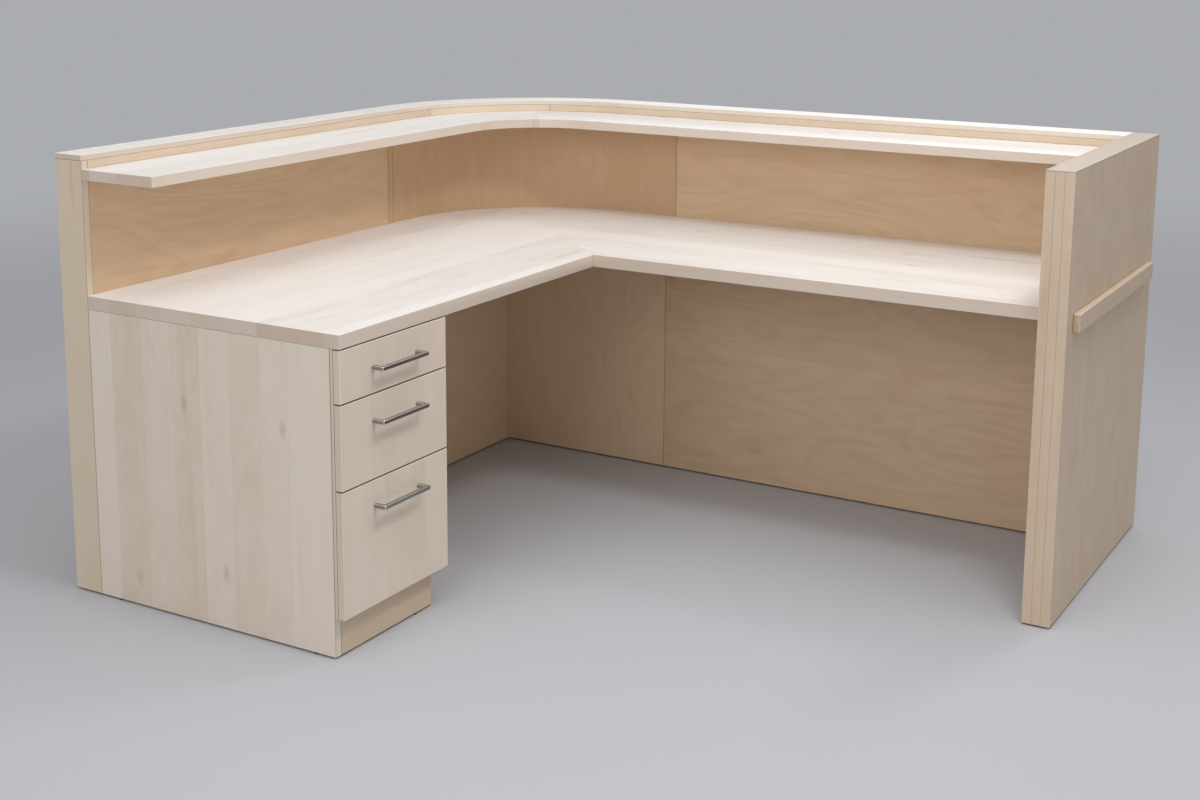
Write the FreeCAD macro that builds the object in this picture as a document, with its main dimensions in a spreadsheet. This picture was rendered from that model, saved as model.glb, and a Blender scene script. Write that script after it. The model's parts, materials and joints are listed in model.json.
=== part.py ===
"""L-shaped reception desk: a tall wall round a curved corner, a shelf, a worktop and a pedestal of drawers.

Places are written from the outer front corner of the left wing: X runs along the right wing, Y runs back
along the left wing and Z is up from the floor. The model's own origin is on the floor under the middle.
"""
import FreeCAD, Part
import os
import re
import Sketcher

# Driving sizes in millimetres: name, value, what it is
SIZES = [
    ("length_overall", 2100, "outer wall face to the end panel's outer face"),
    ("depth_overall", 1800, "open end of the left wing to the back wall's outer face"),
    ("height_overall", 1067, "floor to the top of the wall"),
    ("glide_rise", 4, "height of the glides"),
    ("glide_radius", 7.5, "radius of the glides"),
    ("glide_inset", 60, "glide's middle to the end of its board"),
    ("wall_skin", 12, "skin of the wall, inside and outside"),
    ("wall_core", 60, "depth of the wall's frame"),
    ("cap_thick", 13, "cap on the wall"),
    ("end_board", 19, "board that closes the wall's open end"),
    ("curve_radius", 445, "inside radius of the wall's corner"),
    ("stud_thick", 38, "thickness of studs and plates"),
    ("stud_ease", 0.5, "studs in the curve stand this far off the outer skin"),
    ("curve_flat_left", 93, "straight run of the corner skin before the curve"),
    ("curve_flat_right", 202, "straight run of the corner skin after the curve"),
    ("joint_strip", 21, "width of the upright strip in the inner skin"),
    ("worktop_height", 737, "floor to the worktop's top"),
    ("worktop_thick", 32, "thickness of the worktop"),
    ("left_top_depth", 742, "worktop depth on the left wing"),
    ("right_top_depth", 652, "worktop depth on the right wing"),
    ("band_high", 20, "rail that shows as a band between the shelf and the cap"),
    ("shelf_thick", 25, "thickness of the shelf"),
    ("shelf_depth", 220, "how far the shelf stands out of the wall"),
    ("modesty_thick", 12, "lower panels under the worktop"),
    ("modesty_ease", 1, "square corner of the lower panels to the curved frame"),
    ("corner_panel", 552, "width of the lower panel in the corner"),
    ("cleat_wide", 30, "width of the cleats under the worktop"),
    ("cleat_high", 45, "height of the cleats under the worktop"),
    ("cleat_setback", 60, "end cleat behind the worktop's front edge"),
    ("plate_long", 120, "steel plate across the worktop's mitre"),
    ("plate_wide", 60, "the same plate along the mitre"),
    ("plate_thick", 3, "thickness of the same plate"),
    ("end_leaf", 22, "each of the end panel's three layers"),
    ("end_reach", 86, "how far the end panel stands in front of the worktop"),
    ("lipping", 3, "thin lipping on top of the end panel"),
    ("batten_thick", 16, "thickness of the batten on the end panel"),
    ("batten_high", 42, "height of the batten on the end panel"),
    ("batten_inset", 50, "batten's end to the end panel's edge"),
    ("gable_thick", 19, "finished gable of the pedestal"),
    ("cabinet_board", 16, "boards of the drawer cabinet and its plinth"),
    ("cabinet_rear", 12, "back of the drawer cabinet"),
    ("cabinet_base", 96, "floor to the cabinet's underside"),
    ("stretcher_wide", 100, "width of the cabinet's two top stretchers"),
    ("plinth_return", 32, "how far the plinth stands in under the cabinet's free side"),
    ("frame_thick", 8.5, "thickness of the face frame"),
    ("frame_rail", 20, "height of a face frame rail"),
    ("front_wide", 389, "width of the drawer fronts"),
    ("front_thick", 18, "thickness of the drawer fronts"),
    ("front_arris", 0.8, "softened edges of the drawer fronts"),
    ("front_ease", 0.5, "closed drawer front to the face frame"),
    ("reveal", 3.5, "gap above each drawer front"),
    ("lower_front_high", 290, "height of the lower drawer front"),
    ("middle_front_high", 191, "height of the middle drawer front"),
    ("box_board", 12, "sides and ends of a drawer box"),
    ("box_rear_room", 77.15, "cabinet's back to a closed drawer box"),
    ("box_lift", 12, "drawer box above the rail under it"),
    ("box_head", 14, "drawer box below the rail over it"),
    ("bottom_thick", 6, "thickness of a drawer bottom"),
    ("bottom_rise", 10, "drawer bottom above the box's lower edge"),
    ("groove_deep", 6, "depth of the groove that holds the drawer bottom"),
    ("groove_ease", 0.2, "edge of the drawer bottom to the floor of its groove"),
    ("runner_space", 13, "room for a runner beside the drawer box"),
    ("runner_inset", 8, "runner's rear end to the drawer box's rear end"),
    ("runner_setback", 3, "runner behind the front of the cabinet"),
    ("runner_high", 45, "height of the cabinet member"),
    ("runner_rise", 32, "middle of the runner above the drawer box's lower edge"),
    ("runner_gauge", 1.5, "sheet that the runner members are rolled from"),
    ("runner_lip", 9, "how far the cabinet member stands off the cabinet side"),
    ("runner_play", 0.5, "play between two runner members"),
    ("ball_room", 6.5, "middle member's thickness above and below its channel"),
    ("pull_long", 170, "length of a pull"),
    ("pull_bar", 10, "width and height of the pull's square bar"),
    ("pull_reach", 32, "how far a pull stands out of the front"),
    ("pull_round", 2, "rounding on the pull's edges"),
    ("pull_drop", 59, "pull's middle below the front's top edge"),
    ("screw_radius", 2, "radius of a pull screw"),
    ("screw_ease", 0.25, "clearance round a pull screw"),
    ("screw_grip", 8, "how far a screw goes into the pull"),
    ("screw_head_radius", 4, "radius of a screw's head"),
    ("screw_head_high", 2.5, "height of a screw's head"),
    ("tip_room", 2, "hole in the pull past the screw's tip"),
    ("overrun", 5, "how far every cutting tool runs past the piece"),
]

# Joints in the curve, as shares of the quarter turn from the right wing to the left one
CURVE_SHARES = [
    ("shelf_joint_share", 0.36667, "joint in the shelf"),
    ("left_rail_joint_share", 0.87778, "first joint in the top rail"),
    ("right_rail_joint_share", 0.31111, "second joint in the top rail"),
]

# Sizes that follow from the driving ones
DERIVED = [
    ("centre_x", "(length_overall + batten_thick) / 2"),
    ("centre_y", "depth_overall / 2"),
    ("core_face", "wall_skin + wall_core"),
    ("wall", "core_face + wall_skin"),
    ("cap_under", "height_overall - cap_thick"),
    ("shelf_height", "cap_under - band_high"),
    ("shelf_under", "shelf_height - shelf_thick"),
    ("floor_plate_top", "glide_rise + stud_thick"),
    ("top_plate_under", "shelf_under - stud_thick"),
    ("back_inner", "depth_overall - wall"),
    ("back_core", "depth_overall - core_face"),
    ("back_skin", "depth_overall - wall_skin"),
    ("outer_radius", "curve_radius + wall"),
    ("core_in_radius", "curve_radius + wall_skin"),
    ("core_out_radius", "core_in_radius + wall_core"),
    ("curve_x", "outer_radius"),
    ("curve_y", "depth_overall - outer_radius"),
    ("strip_far", "curve_y - curve_flat_left"),
    ("strip_near", "strip_far - joint_strip"),
    ("right_skin_start", "curve_x + curve_flat_right"),
    ("end_inner", "length_overall - 3 * end_leaf"),
    ("lipping_under", "height_overall - lipping"),
    ("worktop_front", "wall + left_top_depth"),
    ("right_top_front", "back_inner - right_top_depth"),
    ("worktop_under", "worktop_height - worktop_thick"),
    ("cleat_under", "worktop_under - cleat_high"),
    ("end_front", "right_top_front - end_reach"),
    ("shelf_front", "wall + shelf_depth"),
    ("shelf_back_front", "back_inner - shelf_depth"),
    ("shelf_in_radius", "curve_radius - shelf_depth"),
    ("shelf_joint", "90 + 90 * shelf_joint_share"),
    ("left_rail_joint", "90 + 90 * left_rail_joint_share"),
    ("right_rail_joint", "90 + 90 * right_rail_joint_share"),
    # The mitre runs from the worktop's inside corner towards the square corner that the curve cuts off
    ("mitre_square", "sqrt(left_top_depth ^ 2 + right_top_depth ^ 2)"),
    ("mitre_across", "left_top_depth / mitre_square"),
    ("mitre_back", "right_top_depth / mitre_square"),
    ("mitre_turn", "180 - acos(mitre_across) / 1deg"),
    ("mitre_foot", "mitre_back * (curve_y - right_top_front) - mitre_across * (curve_x - worktop_front)"),
    ("mitre_off", "mitre_back * (curve_x - worktop_front) + mitre_across * (curve_y - right_top_front)"),
    ("mitre_long", "mitre_foot + sqrt(curve_radius ^ 2 - mitre_off ^ 2)"),
    ("mitre_x", "worktop_front - mitre_across * mitre_long"),
    ("mitre_y", "right_top_front + mitre_back * mitre_long"),
    # The lower panels stand in just far enough for their square corner to clear the curved frame
    ("setback", "modesty_thick + modesty_ease + curve_radius - core_in_radius * cos(45)"),
    ("modesty_left", "wall + setback"),
    ("modesty_back", "back_inner - setback"),
    ("modesty_left_rear", "modesty_left - modesty_thick"),
    ("modesty_back_rear", "modesty_back + modesty_thick"),
    ("modesty_joint", "modesty_left_rear + corner_panel + modesty_thick"),
    ("front_rear", "worktop_front - front_thick"),
    ("frame_front", "front_rear - front_ease"),
    ("cabinet_front", "frame_front - frame_thick"),
    ("cabinet_inner_rear", "modesty_left + cabinet_rear"),
    ("bay_left", "gable_thick + cabinet_board"),
    ("bay_right", "front_wide - cabinet_board"),
    ("bay_floor", "cabinet_base + cabinet_board"),
    ("box_left", "bay_left + runner_space"),
    ("box_right", "bay_right - runner_space"),
    ("box_long", "front_rear - cabinet_inner_rear - box_rear_room"),
    ("box_rear", "front_rear - box_long"),
    ("runner_front", "cabinet_front - runner_setback"),
    ("runner_long", "runner_front - box_rear - runner_inset"),
    ("runner_rear", "runner_front - runner_long"),
    ("plinth_side", "front_wide - plinth_return"),
    ("middle_high", "runner_high - 2 * runner_gauge - 2 * runner_play"),
    ("channel_high", "middle_high - 2 * ball_room"),
    ("inner_high", "channel_high - 2 * runner_play"),
    ("middle_reach", "runner_gauge + runner_play"),
    ("inner_reach", "middle_reach + runner_gauge + runner_play"),
    ("pull_low", "(front_wide - pull_long) / 2"),
    ("pull_high", "pull_low + pull_long"),
    ("pull_low_inner", "pull_low + pull_bar"),
    ("pull_high_inner", "pull_high - pull_bar"),
    ("pull_face", "worktop_front + pull_reach"),
    ("pull_inner_face", "pull_face - pull_bar"),
    ("screw_hole", "screw_radius + screw_ease"),
    ("lower_front_low", "cabinet_base"),
    ("lower_front_top", "lower_front_low + lower_front_high"),
    ("middle_front_low", "lower_front_top + reveal"),
    ("middle_front_top", "middle_front_low + middle_front_high"),
    ("upper_front_low", "middle_front_top + reveal"),
    ("upper_front_top", "worktop_under - reveal"),
    ("lower_rail_low", "cabinet_base"),
    ("middle_rail_low", "lower_front_top + reveal / 2 - frame_rail / 2"),
    ("upper_rail_low", "middle_front_top + reveal / 2 - frame_rail / 2"),
    ("top_rail_low", "worktop_under - frame_rail"),
]

# Each drawer's name, the rail under it and the rail over it
DRAWERS = [
    ("lower", "lower_rail_low", "middle_rail_low"),
    ("middle", "middle_rail_low", "upper_rail_low"),
    ("upper", "upper_rail_low", "top_rail_low"),
]

LEFT_STUDS = 4
CORNER_STUDS = 5
RIGHT_STUDS = 5
# Places of the two plates along the worktop's mitre
MITRE_PLATE_SHARES = (0.25, 0.72)
FUNCTIONS = ("acos", "cos", "sin", "sqrt", "deg")

doc = FreeCAD.newDocument("reception_desk")
sheet = doc.addObject("Spreadsheet::Sheet", "Sizes")
nodes = []


def joint_cells(name, angle, inner_radius):
    """Formulas for both ends of a joint that runs straight out from the curve's centre."""
    cells = []
    for side, radius in (("in", inner_radius), ("out", "core_out_radius")):
        cells.append((f"{name}_{side}_x", f"curve_x + {radius} * cos({angle})"))
        cells.append((f"{name}_{side}_y", f"curve_y + {radius} * sin({angle})"))
    return cells


def drawer_cells(name, rail_under, rail_over):
    """Formulas for the heights of one drawer's box, runners and pull."""
    return [
        (f"{name}_box_low", f"{rail_under} + frame_rail + box_lift"),
        (f"{name}_box_top", f"{rail_over} - box_head"),
        (f"{name}_bottom_low", f"{name}_box_low + bottom_rise"),
        (f"{name}_runner_middle", f"{name}_box_low + runner_rise"),
        (f"{name}_pull_middle", f"{name}_front_top - pull_drop"),
    ]


def fill_sheet():
    """Writes the driving sizes as plain numbers and the rest as formulas, each under its own name."""
    formulas = list(DERIVED)
    formulas += joint_cells("shelf_joint", "shelf_joint", "shelf_in_radius")
    formulas += joint_cells("left_joint", "left_rail_joint", "curve_radius")
    formulas += joint_cells("right_joint", "right_rail_joint", "curve_radius")
    for drawer in DRAWERS:
        formulas += drawer_cells(*drawer)
    rows = [(name, str(value), note) for name, value, note in SIZES + CURVE_SHARES]
    rows += [(name, "=" + formula, "") for name, formula in formulas]
    for row, (name, content, note) in enumerate(rows, 1):
        sheet.set(f"A{row}", content)
        sheet.setAlias(f"A{row}", name)
        sheet.set(f"B{row}", note)
    doc.recompute()


def in_cells(words):
    """The same sum with every name read from the sheet."""
    def cell(match):
        word = match.group(0)
        return word if word in FUNCTIONS else "Sizes." + word
    return re.sub(r"[a-z][a-z_]*", cell, words)


def bind(item, prop, words):
    """Ties a property to a sum of named sizes."""
    item.setExpression(prop, in_cells(words))


def size(name):
    """A named size as a number."""
    return 0.0 if name == "0" else float(sheet.get(name))


def place(item, x, y, z):
    """Puts a piece at a place that is given from the outer front corner of the left wing."""
    bind(item, "Placement.Base.x", f"{x} - centre_x")
    bind(item, "Placement.Base.y", f"{y} - centre_y")
    bind(item, "Placement.Base.z", z)


def turned(item, degrees, axis=(0, 0, 1)):
    """Turns a piece about an axis through its own corner."""
    item.Placement = FreeCAD.Placement(FreeCAD.Vector(), FreeCAD.Rotation(FreeCAD.Vector(*axis), degrees))
    return item


def node(item):
    """Counts a finished piece as a sub-part of the desk."""
    nodes.append(item)
    return item


def group(label, pieces):
    """Like pieces that share a sub-part, each still a solid of its own."""
    item = doc.addObject("Part::Compound", label)
    item.Links = pieces
    return node(item)


def block(label, length, width, height):
    """A plain block with its sides tied to named sizes, not yet placed."""
    item = doc.addObject("Part::Box", label)
    bind(item, "Length", length)
    bind(item, "Width", width)
    bind(item, "Height", height)
    return item


def board(label, x, y, z):
    """A square-edged board between a low and a high place along each axis."""
    length, width, height = (f"({high}) - ({low})" for low, high in (x, y, z))
    item = block(label, length, width, height)
    place(item, x[0], y[0], z[0])
    return item


def rod(label, radius, x, y, z):
    """A round bar along X between two places, round a line at y and z."""
    item = turned(doc.addObject("Part::Cylinder", label), 90, (0, 1, 0))
    bind(item, "Radius", radius)
    bind(item, "Height", f"({x[1]}) - ({x[0]})")
    place(item, x[0], y, z)
    return item


def cut(label, base, tools):
    """The base with every tool taken out of it."""
    joined = tools[0]
    if len(tools) > 1:
        joined = doc.addObject("Part::Compound", label + "_tools")
        joined.Links = tools
    item = doc.addObject("Part::Cut", label)
    item.Base = base
    item.Tool = joined
    return item


def short_arc(centre, start, end):
    """The short arc from start to end, and whether it runs anticlockwise."""
    arms = (start - centre, end - centre)
    forward = arms[0].x * arms[1].y > arms[0].y * arms[1].x
    first, last = arms if forward else arms[::-1]
    angles = [FreeCAD.Vector(1, 0, 0).getAngle(arm) * (1 if arm.y >= 0 else -1) for arm in (first, last)]
    circle = Part.Circle(centre, FreeCAD.Vector(0, 0, 1), arms[0].Length)
    return Part.ArcOfCircle(circle, *angles), forward


def tie_point(sketch, edge, end, x, y):
    """Ties a point of a sketch to the sheet. A direction that is None stays free."""
    for kind, words in (("DistanceX", x), ("DistanceY", y)):
        if words is not None:
            number = sketch.addConstraint(Sketcher.Constraint(kind, -1, 1, edge, end, size(words)))
            sketch.setExpression(f"Constraints[{number}]", in_cells(words))


def draw_outline(sketch, corners, arcs):
    """Draws a closed outline through named corners. The edges in arcs run round the curve's centre."""
    points = [FreeCAD.Vector(size(x), size(y), 0) for x, y in corners]
    centre = FreeCAD.Vector(size("curve_x"), size("curve_y"), 0)
    count = len(points)
    ends = []
    for index, start in enumerate(points):
        end = points[(index + 1) % count]
        forward = True
        if index in arcs:
            edge, forward = short_arc(centre, start, end)
        else:
            edge = Part.LineSegment(start, end)
        sketch.addGeometry(edge)
        ends.append((1, 2) if forward else (2, 1))
    for index in range(count):
        after = (index + 1) % count
        sketch.addConstraint(Sketcher.Constraint("Coincident", index, ends[index][1], after, ends[after][0]))
    for index in arcs:
        tie_point(sketch, index, 3, "curve_x", "curve_y")
    for index, (x, y) in enumerate(corners):
        # The far end of an arc lies on its circle, so one direction is enough to hold it there
        if (index - 1) % count in arcs:
            arm = points[index] - centre
            x, y = (x, None) if abs(arm.y) > abs(arm.x) else (None, y)
        tie_point(sketch, index, ends[index][0], x, y)


def plan_piece(label, corners, low, high, arcs=()):
    """A piece sawn to an outline in plan, from one height to another."""
    body = doc.addObject("PartDesign::Body", label)
    sketch = body.newObject("Sketcher::SketchObject", label + "_outline")
    plane = next(face for face in body.Origin.OriginFeatures if face.Role == "XY_Plane")
    sketch.AttachmentSupport = [(plane, "")]
    sketch.MapMode = "FlatFace"
    draw_outline(sketch, corners, arcs)
    pad = body.newObject("PartDesign::Pad", label + "_pad")
    pad.Profile = sketch
    bind(pad, "Length", f"{high} - ({low})")
    place(body, "0", "0", low)
    return body


def quarter_ring(label, outer, inner, low, high):
    """A quarter of a ring round the curve's centre, between two heights."""
    shells = []
    for name, radius in (("_outside", outer), ("_inside", inner)):
        shell = doc.addObject("Part::Cylinder", label + name)
        bind(shell, "Radius", radius)
        bind(shell, "Height", f"{high} - {low}")
        shells.append(shell)
    shells[0].Angle = 90
    item = turned(cut(label, shells[0], shells[1:]), 90)
    place(item, "curve_x", "curve_y", low)
    return item


def spread(low, high, width, count):
    """Low and high sides of equal boards, spread evenly with one at each end of the space."""
    starts = [f"{low} + ({high} - ({low}) - {width}) * {index} / {count - 1}" for index in range(count)]
    return [(start, f"{start} + {width}") for start in starts]


def make_wall_skins():
    """Skins on both sides of the wall, the board on its open end and the strip at a joint."""
    full = ("glide_rise", "cap_under")
    inner = ("glide_rise", "shelf_under")
    node(board("left_wall_outer_skin", ("0", "wall_skin"), ("end_board", "curve_y"), full))
    node(quarter_ring("corner_outer_skin", "outer_radius", "core_out_radius", *full))
    node(board("right_wall_outer_skin", ("curve_x", "end_inner"), ("back_skin", "depth_overall"), full))
    node(board("left_wall_end_board", ("0", "wall"), ("0", "end_board"), full))
    node(board("left_wall_inner_skin", ("core_face", "wall"), ("end_board", "strip_near"), inner))
    node(board("inner_joint_strip", ("core_face", "wall"), ("strip_near", "strip_far"), inner))
    right = ("right_skin_start", "end_inner")
    node(board("right_wall_inner_skin", right, ("back_inner", "back_core"), inner))
    corners = [
        ("wall", "strip_far"), ("wall", "curve_y"), ("curve_x", "back_inner"),
        ("right_skin_start", "back_inner"), ("right_skin_start", "back_core"),
        ("curve_x", "back_core"), ("core_face", "curve_y"), ("core_face", "strip_far"),
    ]
    node(plan_piece("corner_inner_skin", corners, "worktop_under", "shelf_under", arcs=(1, 5)))


def corner_stud(index):
    """An upright stud that points at the curve's centre."""
    angle = 90 + 90 * (index + 0.5) / CORNER_STUDS
    stud = block(f"corner_stud_{index + 1}", "wall_core - stud_ease", "stud_thick",
                 "top_plate_under - floor_plate_top")
    turned(stud, angle)
    place(stud, f"curve_x + core_in_radius * cos({angle}) + stud_thick / 2 * sin({angle})",
          f"curve_y + core_in_radius * sin({angle}) - stud_thick / 2 * cos({angle})", "floor_plate_top")
    return stud


def make_wall_frames():
    """Studs between a floor plate and a top plate inside each stretch of the wall."""
    between = ("floor_plate_top", "top_plate_under")
    left = []
    corner = [corner_stud(index) for index in range(CORNER_STUDS)]
    right = []
    for name, low, high in (("floor_plate", "glide_rise", "floor_plate_top"),
                            ("top_plate", "top_plate_under", "shelf_under")):
        height = (low, high)
        left.append(board("left_" + name, ("wall_skin", "core_face"), ("end_board", "curve_y"), height))
        right.append(board("right_" + name, ("curve_x", "end_inner"), ("back_core", "back_skin"), height))
        corner.append(quarter_ring("corner_" + name, "core_out_radius", "core_in_radius", low, high))
    for number, sides in enumerate(spread("end_board", "curve_y", "stud_thick", LEFT_STUDS), 1):
        left.append(board(f"left_stud_{number}", ("wall_skin", "core_face"), sides, between))
    for number, sides in enumerate(spread("curve_x", "end_inner", "stud_thick", RIGHT_STUDS), 1):
        right.append(board(f"right_stud_{number}", sides, ("back_core", "back_skin"), between))
    group("left_wall_frame", left)
    group("corner_wall_frame", corner)
    group("right_wall_frame", right)


def make_caps():
    """Caps along the top of the wall, jointed where the curve begins and ends."""
    heights = ("cap_under", "height_overall")
    node(board("left_cap", ("0", "wall"), ("0", "curve_y"), heights))
    node(quarter_ring("corner_cap", "outer_radius", "curve_radius", *heights))
    node(board("right_cap", ("curve_x", "end_inner"), ("back_inner", "depth_overall"), heights))


def make_top_rails():
    """Rails between the shelf and the caps. Their inner face shows as a narrow band."""
    heights = ("shelf_height", "cap_under")
    left_inner, left_outer = ("left_joint_in_x", "left_joint_in_y"), ("left_joint_out_x", "left_joint_out_y")
    right_inner = ("right_joint_in_x", "right_joint_in_y")
    right_outer = ("right_joint_out_x", "right_joint_out_y")
    left = [
        ("wall_skin", "end_board"), ("wall", "end_board"), ("wall", "curve_y"),
        left_inner, left_outer, ("wall_skin", "curve_y"),
    ]
    corner = [left_inner, right_inner, right_outer, left_outer]
    right = [
        right_inner, ("curve_x", "back_inner"), ("end_inner", "back_inner"),
        ("end_inner", "back_skin"), ("curve_x", "back_skin"), right_outer,
    ]
    node(plan_piece("left_top_rail", left, *heights, arcs=(2, 4)))
    node(plan_piece("corner_top_rail", corner, *heights, arcs=(0, 2)))
    node(plan_piece("right_top_rail", right, *heights, arcs=(0, 4)))


def make_shelves():
    """Two shelf pieces, each with a tongue that reaches through the wall to its outer skin."""
    heights = ("shelf_under", "shelf_height")
    joint_inner = ("shelf_joint_in_x", "shelf_joint_in_y")
    joint_outer = ("shelf_joint_out_x", "shelf_joint_out_y")
    left = [
        ("wall", "0"), ("shelf_front", "0"), ("shelf_front", "curve_y"), joint_inner, joint_outer,
        ("wall_skin", "curve_y"), ("wall_skin", "end_board"), ("wall", "end_board"),
    ]
    right = [
        joint_inner, ("curve_x", "shelf_back_front"), ("end_inner", "shelf_back_front"),
        ("end_inner", "back_skin"), ("curve_x", "back_skin"), joint_outer,
    ]
    node(plan_piece("left_shelf", left, *heights, arcs=(2, 4)))
    node(plan_piece("right_shelf", right, *heights, arcs=(0, 4)))


def mitre_plate(number, share):
    """A steel plate screwed up under both worktops, square across their mitre."""
    plate = block(f"mitre_plate_{number}", "plate_wide", "plate_long", "plate_thick")
    bind(turned(plate, 90), "Placement.Rotation.Angle", "mitre_turn")
    along = f"(mitre_long * {share} - plate_wide / 2)"
    place(plate, f"worktop_front - mitre_across * {along} + mitre_back * plate_long / 2",
          f"right_top_front + mitre_back * {along} + mitre_across * plate_long / 2",
          "worktop_under - plate_thick")
    return plate


def make_worktops():
    """Two worktop pieces that follow the curve and meet in a mitre, and the plates that hold the mitre."""
    heights = ("worktop_under", "worktop_height")
    mitre_end = ("mitre_x", "mitre_y")
    inside = ("worktop_front", "right_top_front")
    left = [("wall", "0"), ("worktop_front", "0"), inside, mitre_end, ("wall", "curve_y")]
    right = [inside, ("end_inner", "right_top_front"), ("end_inner", "back_inner"),
             ("curve_x", "back_inner"), mitre_end]
    node(plan_piece("left_worktop", left, *heights, arcs=(3,)))
    node(plan_piece("right_worktop", right, *heights, arcs=(3,)))
    group("worktop_joint_plates", [mitre_plate(*plate) for plate in enumerate(MITRE_PLATE_SHARES, 1)])


def make_cleats():
    """Cleats along the walls, the end panel and the lower panels, under the worktop."""
    heights = ("cleat_under", "worktop_under")
    rows = {
        "left_wall_cleat": (("wall", "wall + cleat_wide"), ("gable_thick", "strip_near")),
        "right_wall_cleat": (("right_skin_start", "end_inner"), ("back_inner - cleat_wide", "back_inner")),
        "end_panel_cleat": (("end_inner - cleat_wide", "end_inner"),
                            ("right_top_front + cleat_setback", "modesty_back")),
        "left_panel_cleat": (("modesty_left_rear - cleat_wide", "modesty_left_rear"),
                             ("gable_thick", "curve_y")),
        "right_panel_cleat": (("curve_x", "end_inner"),
                              ("modesty_back_rear", "modesty_back_rear + cleat_wide")),
    }
    group("worktop_cleats", [board(label, *sides, heights) for label, sides in rows.items()])


def make_lower_panels():
    """Panels under the worktop that meet in a square corner, and the floor plates behind them."""
    full = ("glide_rise", "worktop_under")
    floor = ("glide_rise", "floor_plate_top")
    back = ("modesty_back", "modesty_back_rear")
    left = ("modesty_left_rear", "modesty_left")
    node(board("left_modesty_panel", left, ("gable_thick", "modesty_back"), full))
    node(board("corner_modesty_panel", ("modesty_left_rear", "modesty_joint"), back, full))
    node(board("right_modesty_panel", ("modesty_joint", "end_inner"), back, full))
    group("modesty_sole_plates", [
        board("left_sole_plate", ("wall", "modesty_left_rear"), ("gable_thick", "curve_y"), floor),
        board("right_sole_plate", ("curve_x", "end_inner"), ("modesty_back_rear", "back_inner"), floor),
    ])


def make_end_panel():
    """The thick end panel: three layers, a lipping over their top edges and a batten outside."""
    sides = ("end_front", "depth_overall")
    for number, name in enumerate(("inner_leaf", "core", "outer_leaf")):
        layer = (f"end_inner + {number} * end_leaf", f"end_inner + {number + 1} * end_leaf")
        node(board("end_panel_" + name, layer, sides, ("glide_rise", "lipping_under")))
    node(board("end_panel_top_lipping", ("end_inner", "length_overall"), sides,
               ("lipping_under", "height_overall")))
    node(board("end_panel_batten", ("length_overall", "length_overall + batten_thick"),
               ("end_front + batten_inset", "depth_overall - batten_inset"),
               ("worktop_height - batten_high", "worktop_height")))


def make_glides():
    """Low round glides under the walls, the lower panels, the end panel and the pedestal."""
    wall_line = ("wall / 2", "depth_overall - wall / 2")
    panel_line = ("(wall + modesty_left_rear) / 2", "(modesty_back_rear + back_inner) / 2")
    end_line = "(end_inner + length_overall) / 2"
    turn = "(core_in_radius + core_out_radius) / 2"
    left_places = ("glide_inset", "curve_y / 2", "curve_y - glide_inset")
    right_places = ("curve_x + glide_inset", "(curve_x + end_inner) / 2", "end_inner - glide_inset")
    places = []
    for x, y in (wall_line, panel_line):
        places += [(x, place_y) for place_y in left_places]
        places += [(place_x, y) for place_x in right_places]
    places += [
        (f"curve_x + {turn} * cos(135)", f"curve_y + {turn} * sin(135)"),
        (end_line, "end_front + glide_inset"),
        (end_line, "depth_overall - glide_inset"),
        ("wall + glide_inset", "gable_thick / 2"),
        ("cabinet_front - glide_inset", "gable_thick / 2"),
        ("cabinet_front - cabinet_board / 2", "plinth_side - glide_inset"),
        ("modesty_left + glide_inset", "plinth_side - cabinet_board / 2"),
    ]
    glides = []
    for number, (x, y) in enumerate(places, 1):
        glide = doc.addObject("Part::Cylinder", f"glide_{number}")
        bind(glide, "Radius", "glide_radius")
        bind(glide, "Height", "glide_rise")
        place(glide, x, y, "0")
        glides.append(glide)
    group("floor_glides", glides)


def make_cabinet():
    """The drawer cabinet between the finished gable and the knee space, on its plinth."""
    full = ("cabinet_base", "worktop_under")
    depth = ("cabinet_inner_rear", "cabinet_front")
    inside = ("bay_left", "bay_right")
    gable = ("wall", "cabinet_front")
    node(board("pedestal_gable", gable, ("0", "gable_thick"), ("glide_rise", "worktop_under")))
    left = board("cabinet_left_side", depth, ("gable_thick", "bay_left"), full)
    right = board("cabinet_right_side", depth, ("bay_right", "front_wide"), full)
    group("cabinet_sides", [left, right])
    node(board("cabinet_bottom", depth, inside, ("cabinet_base", "bay_floor")))
    node(board("cabinet_back", ("modesty_left", "cabinet_inner_rear"), ("gable_thick", "front_wide"), full))
    top = ("worktop_under - cabinet_board", "worktop_under")
    front = board("front_stretcher", ("cabinet_front - stretcher_wide", "cabinet_front"), inside, top)
    rear = board("rear_stretcher", ("cabinet_inner_rear", "cabinet_inner_rear + stretcher_wide"), inside, top)
    group("cabinet_stretchers", [front, rear])
    floor = ("glide_rise", "cabinet_base")
    board_back = "cabinet_front - cabinet_board"
    group("plinth_boards", [
        board("plinth_front", (board_back, "cabinet_front"), ("gable_thick", "plinth_side"), floor),
        board("plinth_side_board", ("modesty_left", board_back),
              ("plinth_side - cabinet_board", "plinth_side"), floor),
        board("plinth_back", ("modesty_left", "modesty_left + cabinet_board"),
              ("gable_thick", "plinth_side - cabinet_board"), floor),
    ])


def make_face_frame():
    """Two stiles and four rails on the front of the cabinet, behind the drawer fronts."""
    depth = ("cabinet_front", "frame_front")
    pieces = [
        board("left_stile", depth, ("0", "bay_left"), ("cabinet_base", "worktop_under")),
        board("right_stile", depth, ("bay_right", "front_wide"), ("cabinet_base", "worktop_under")),
    ]
    for name in ("lower", "middle", "upper", "top"):
        low = name + "_rail_low"
        pieces.append(board(name + "_rail", depth, ("bay_left", "bay_right"), (low, low + " + frame_rail")))
    group("face_frame", pieces)


def screw_places():
    """The two places along Y where a pull is screwed on."""
    return ("pull_low + pull_bar / 2", "pull_high - pull_bar / 2")


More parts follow.
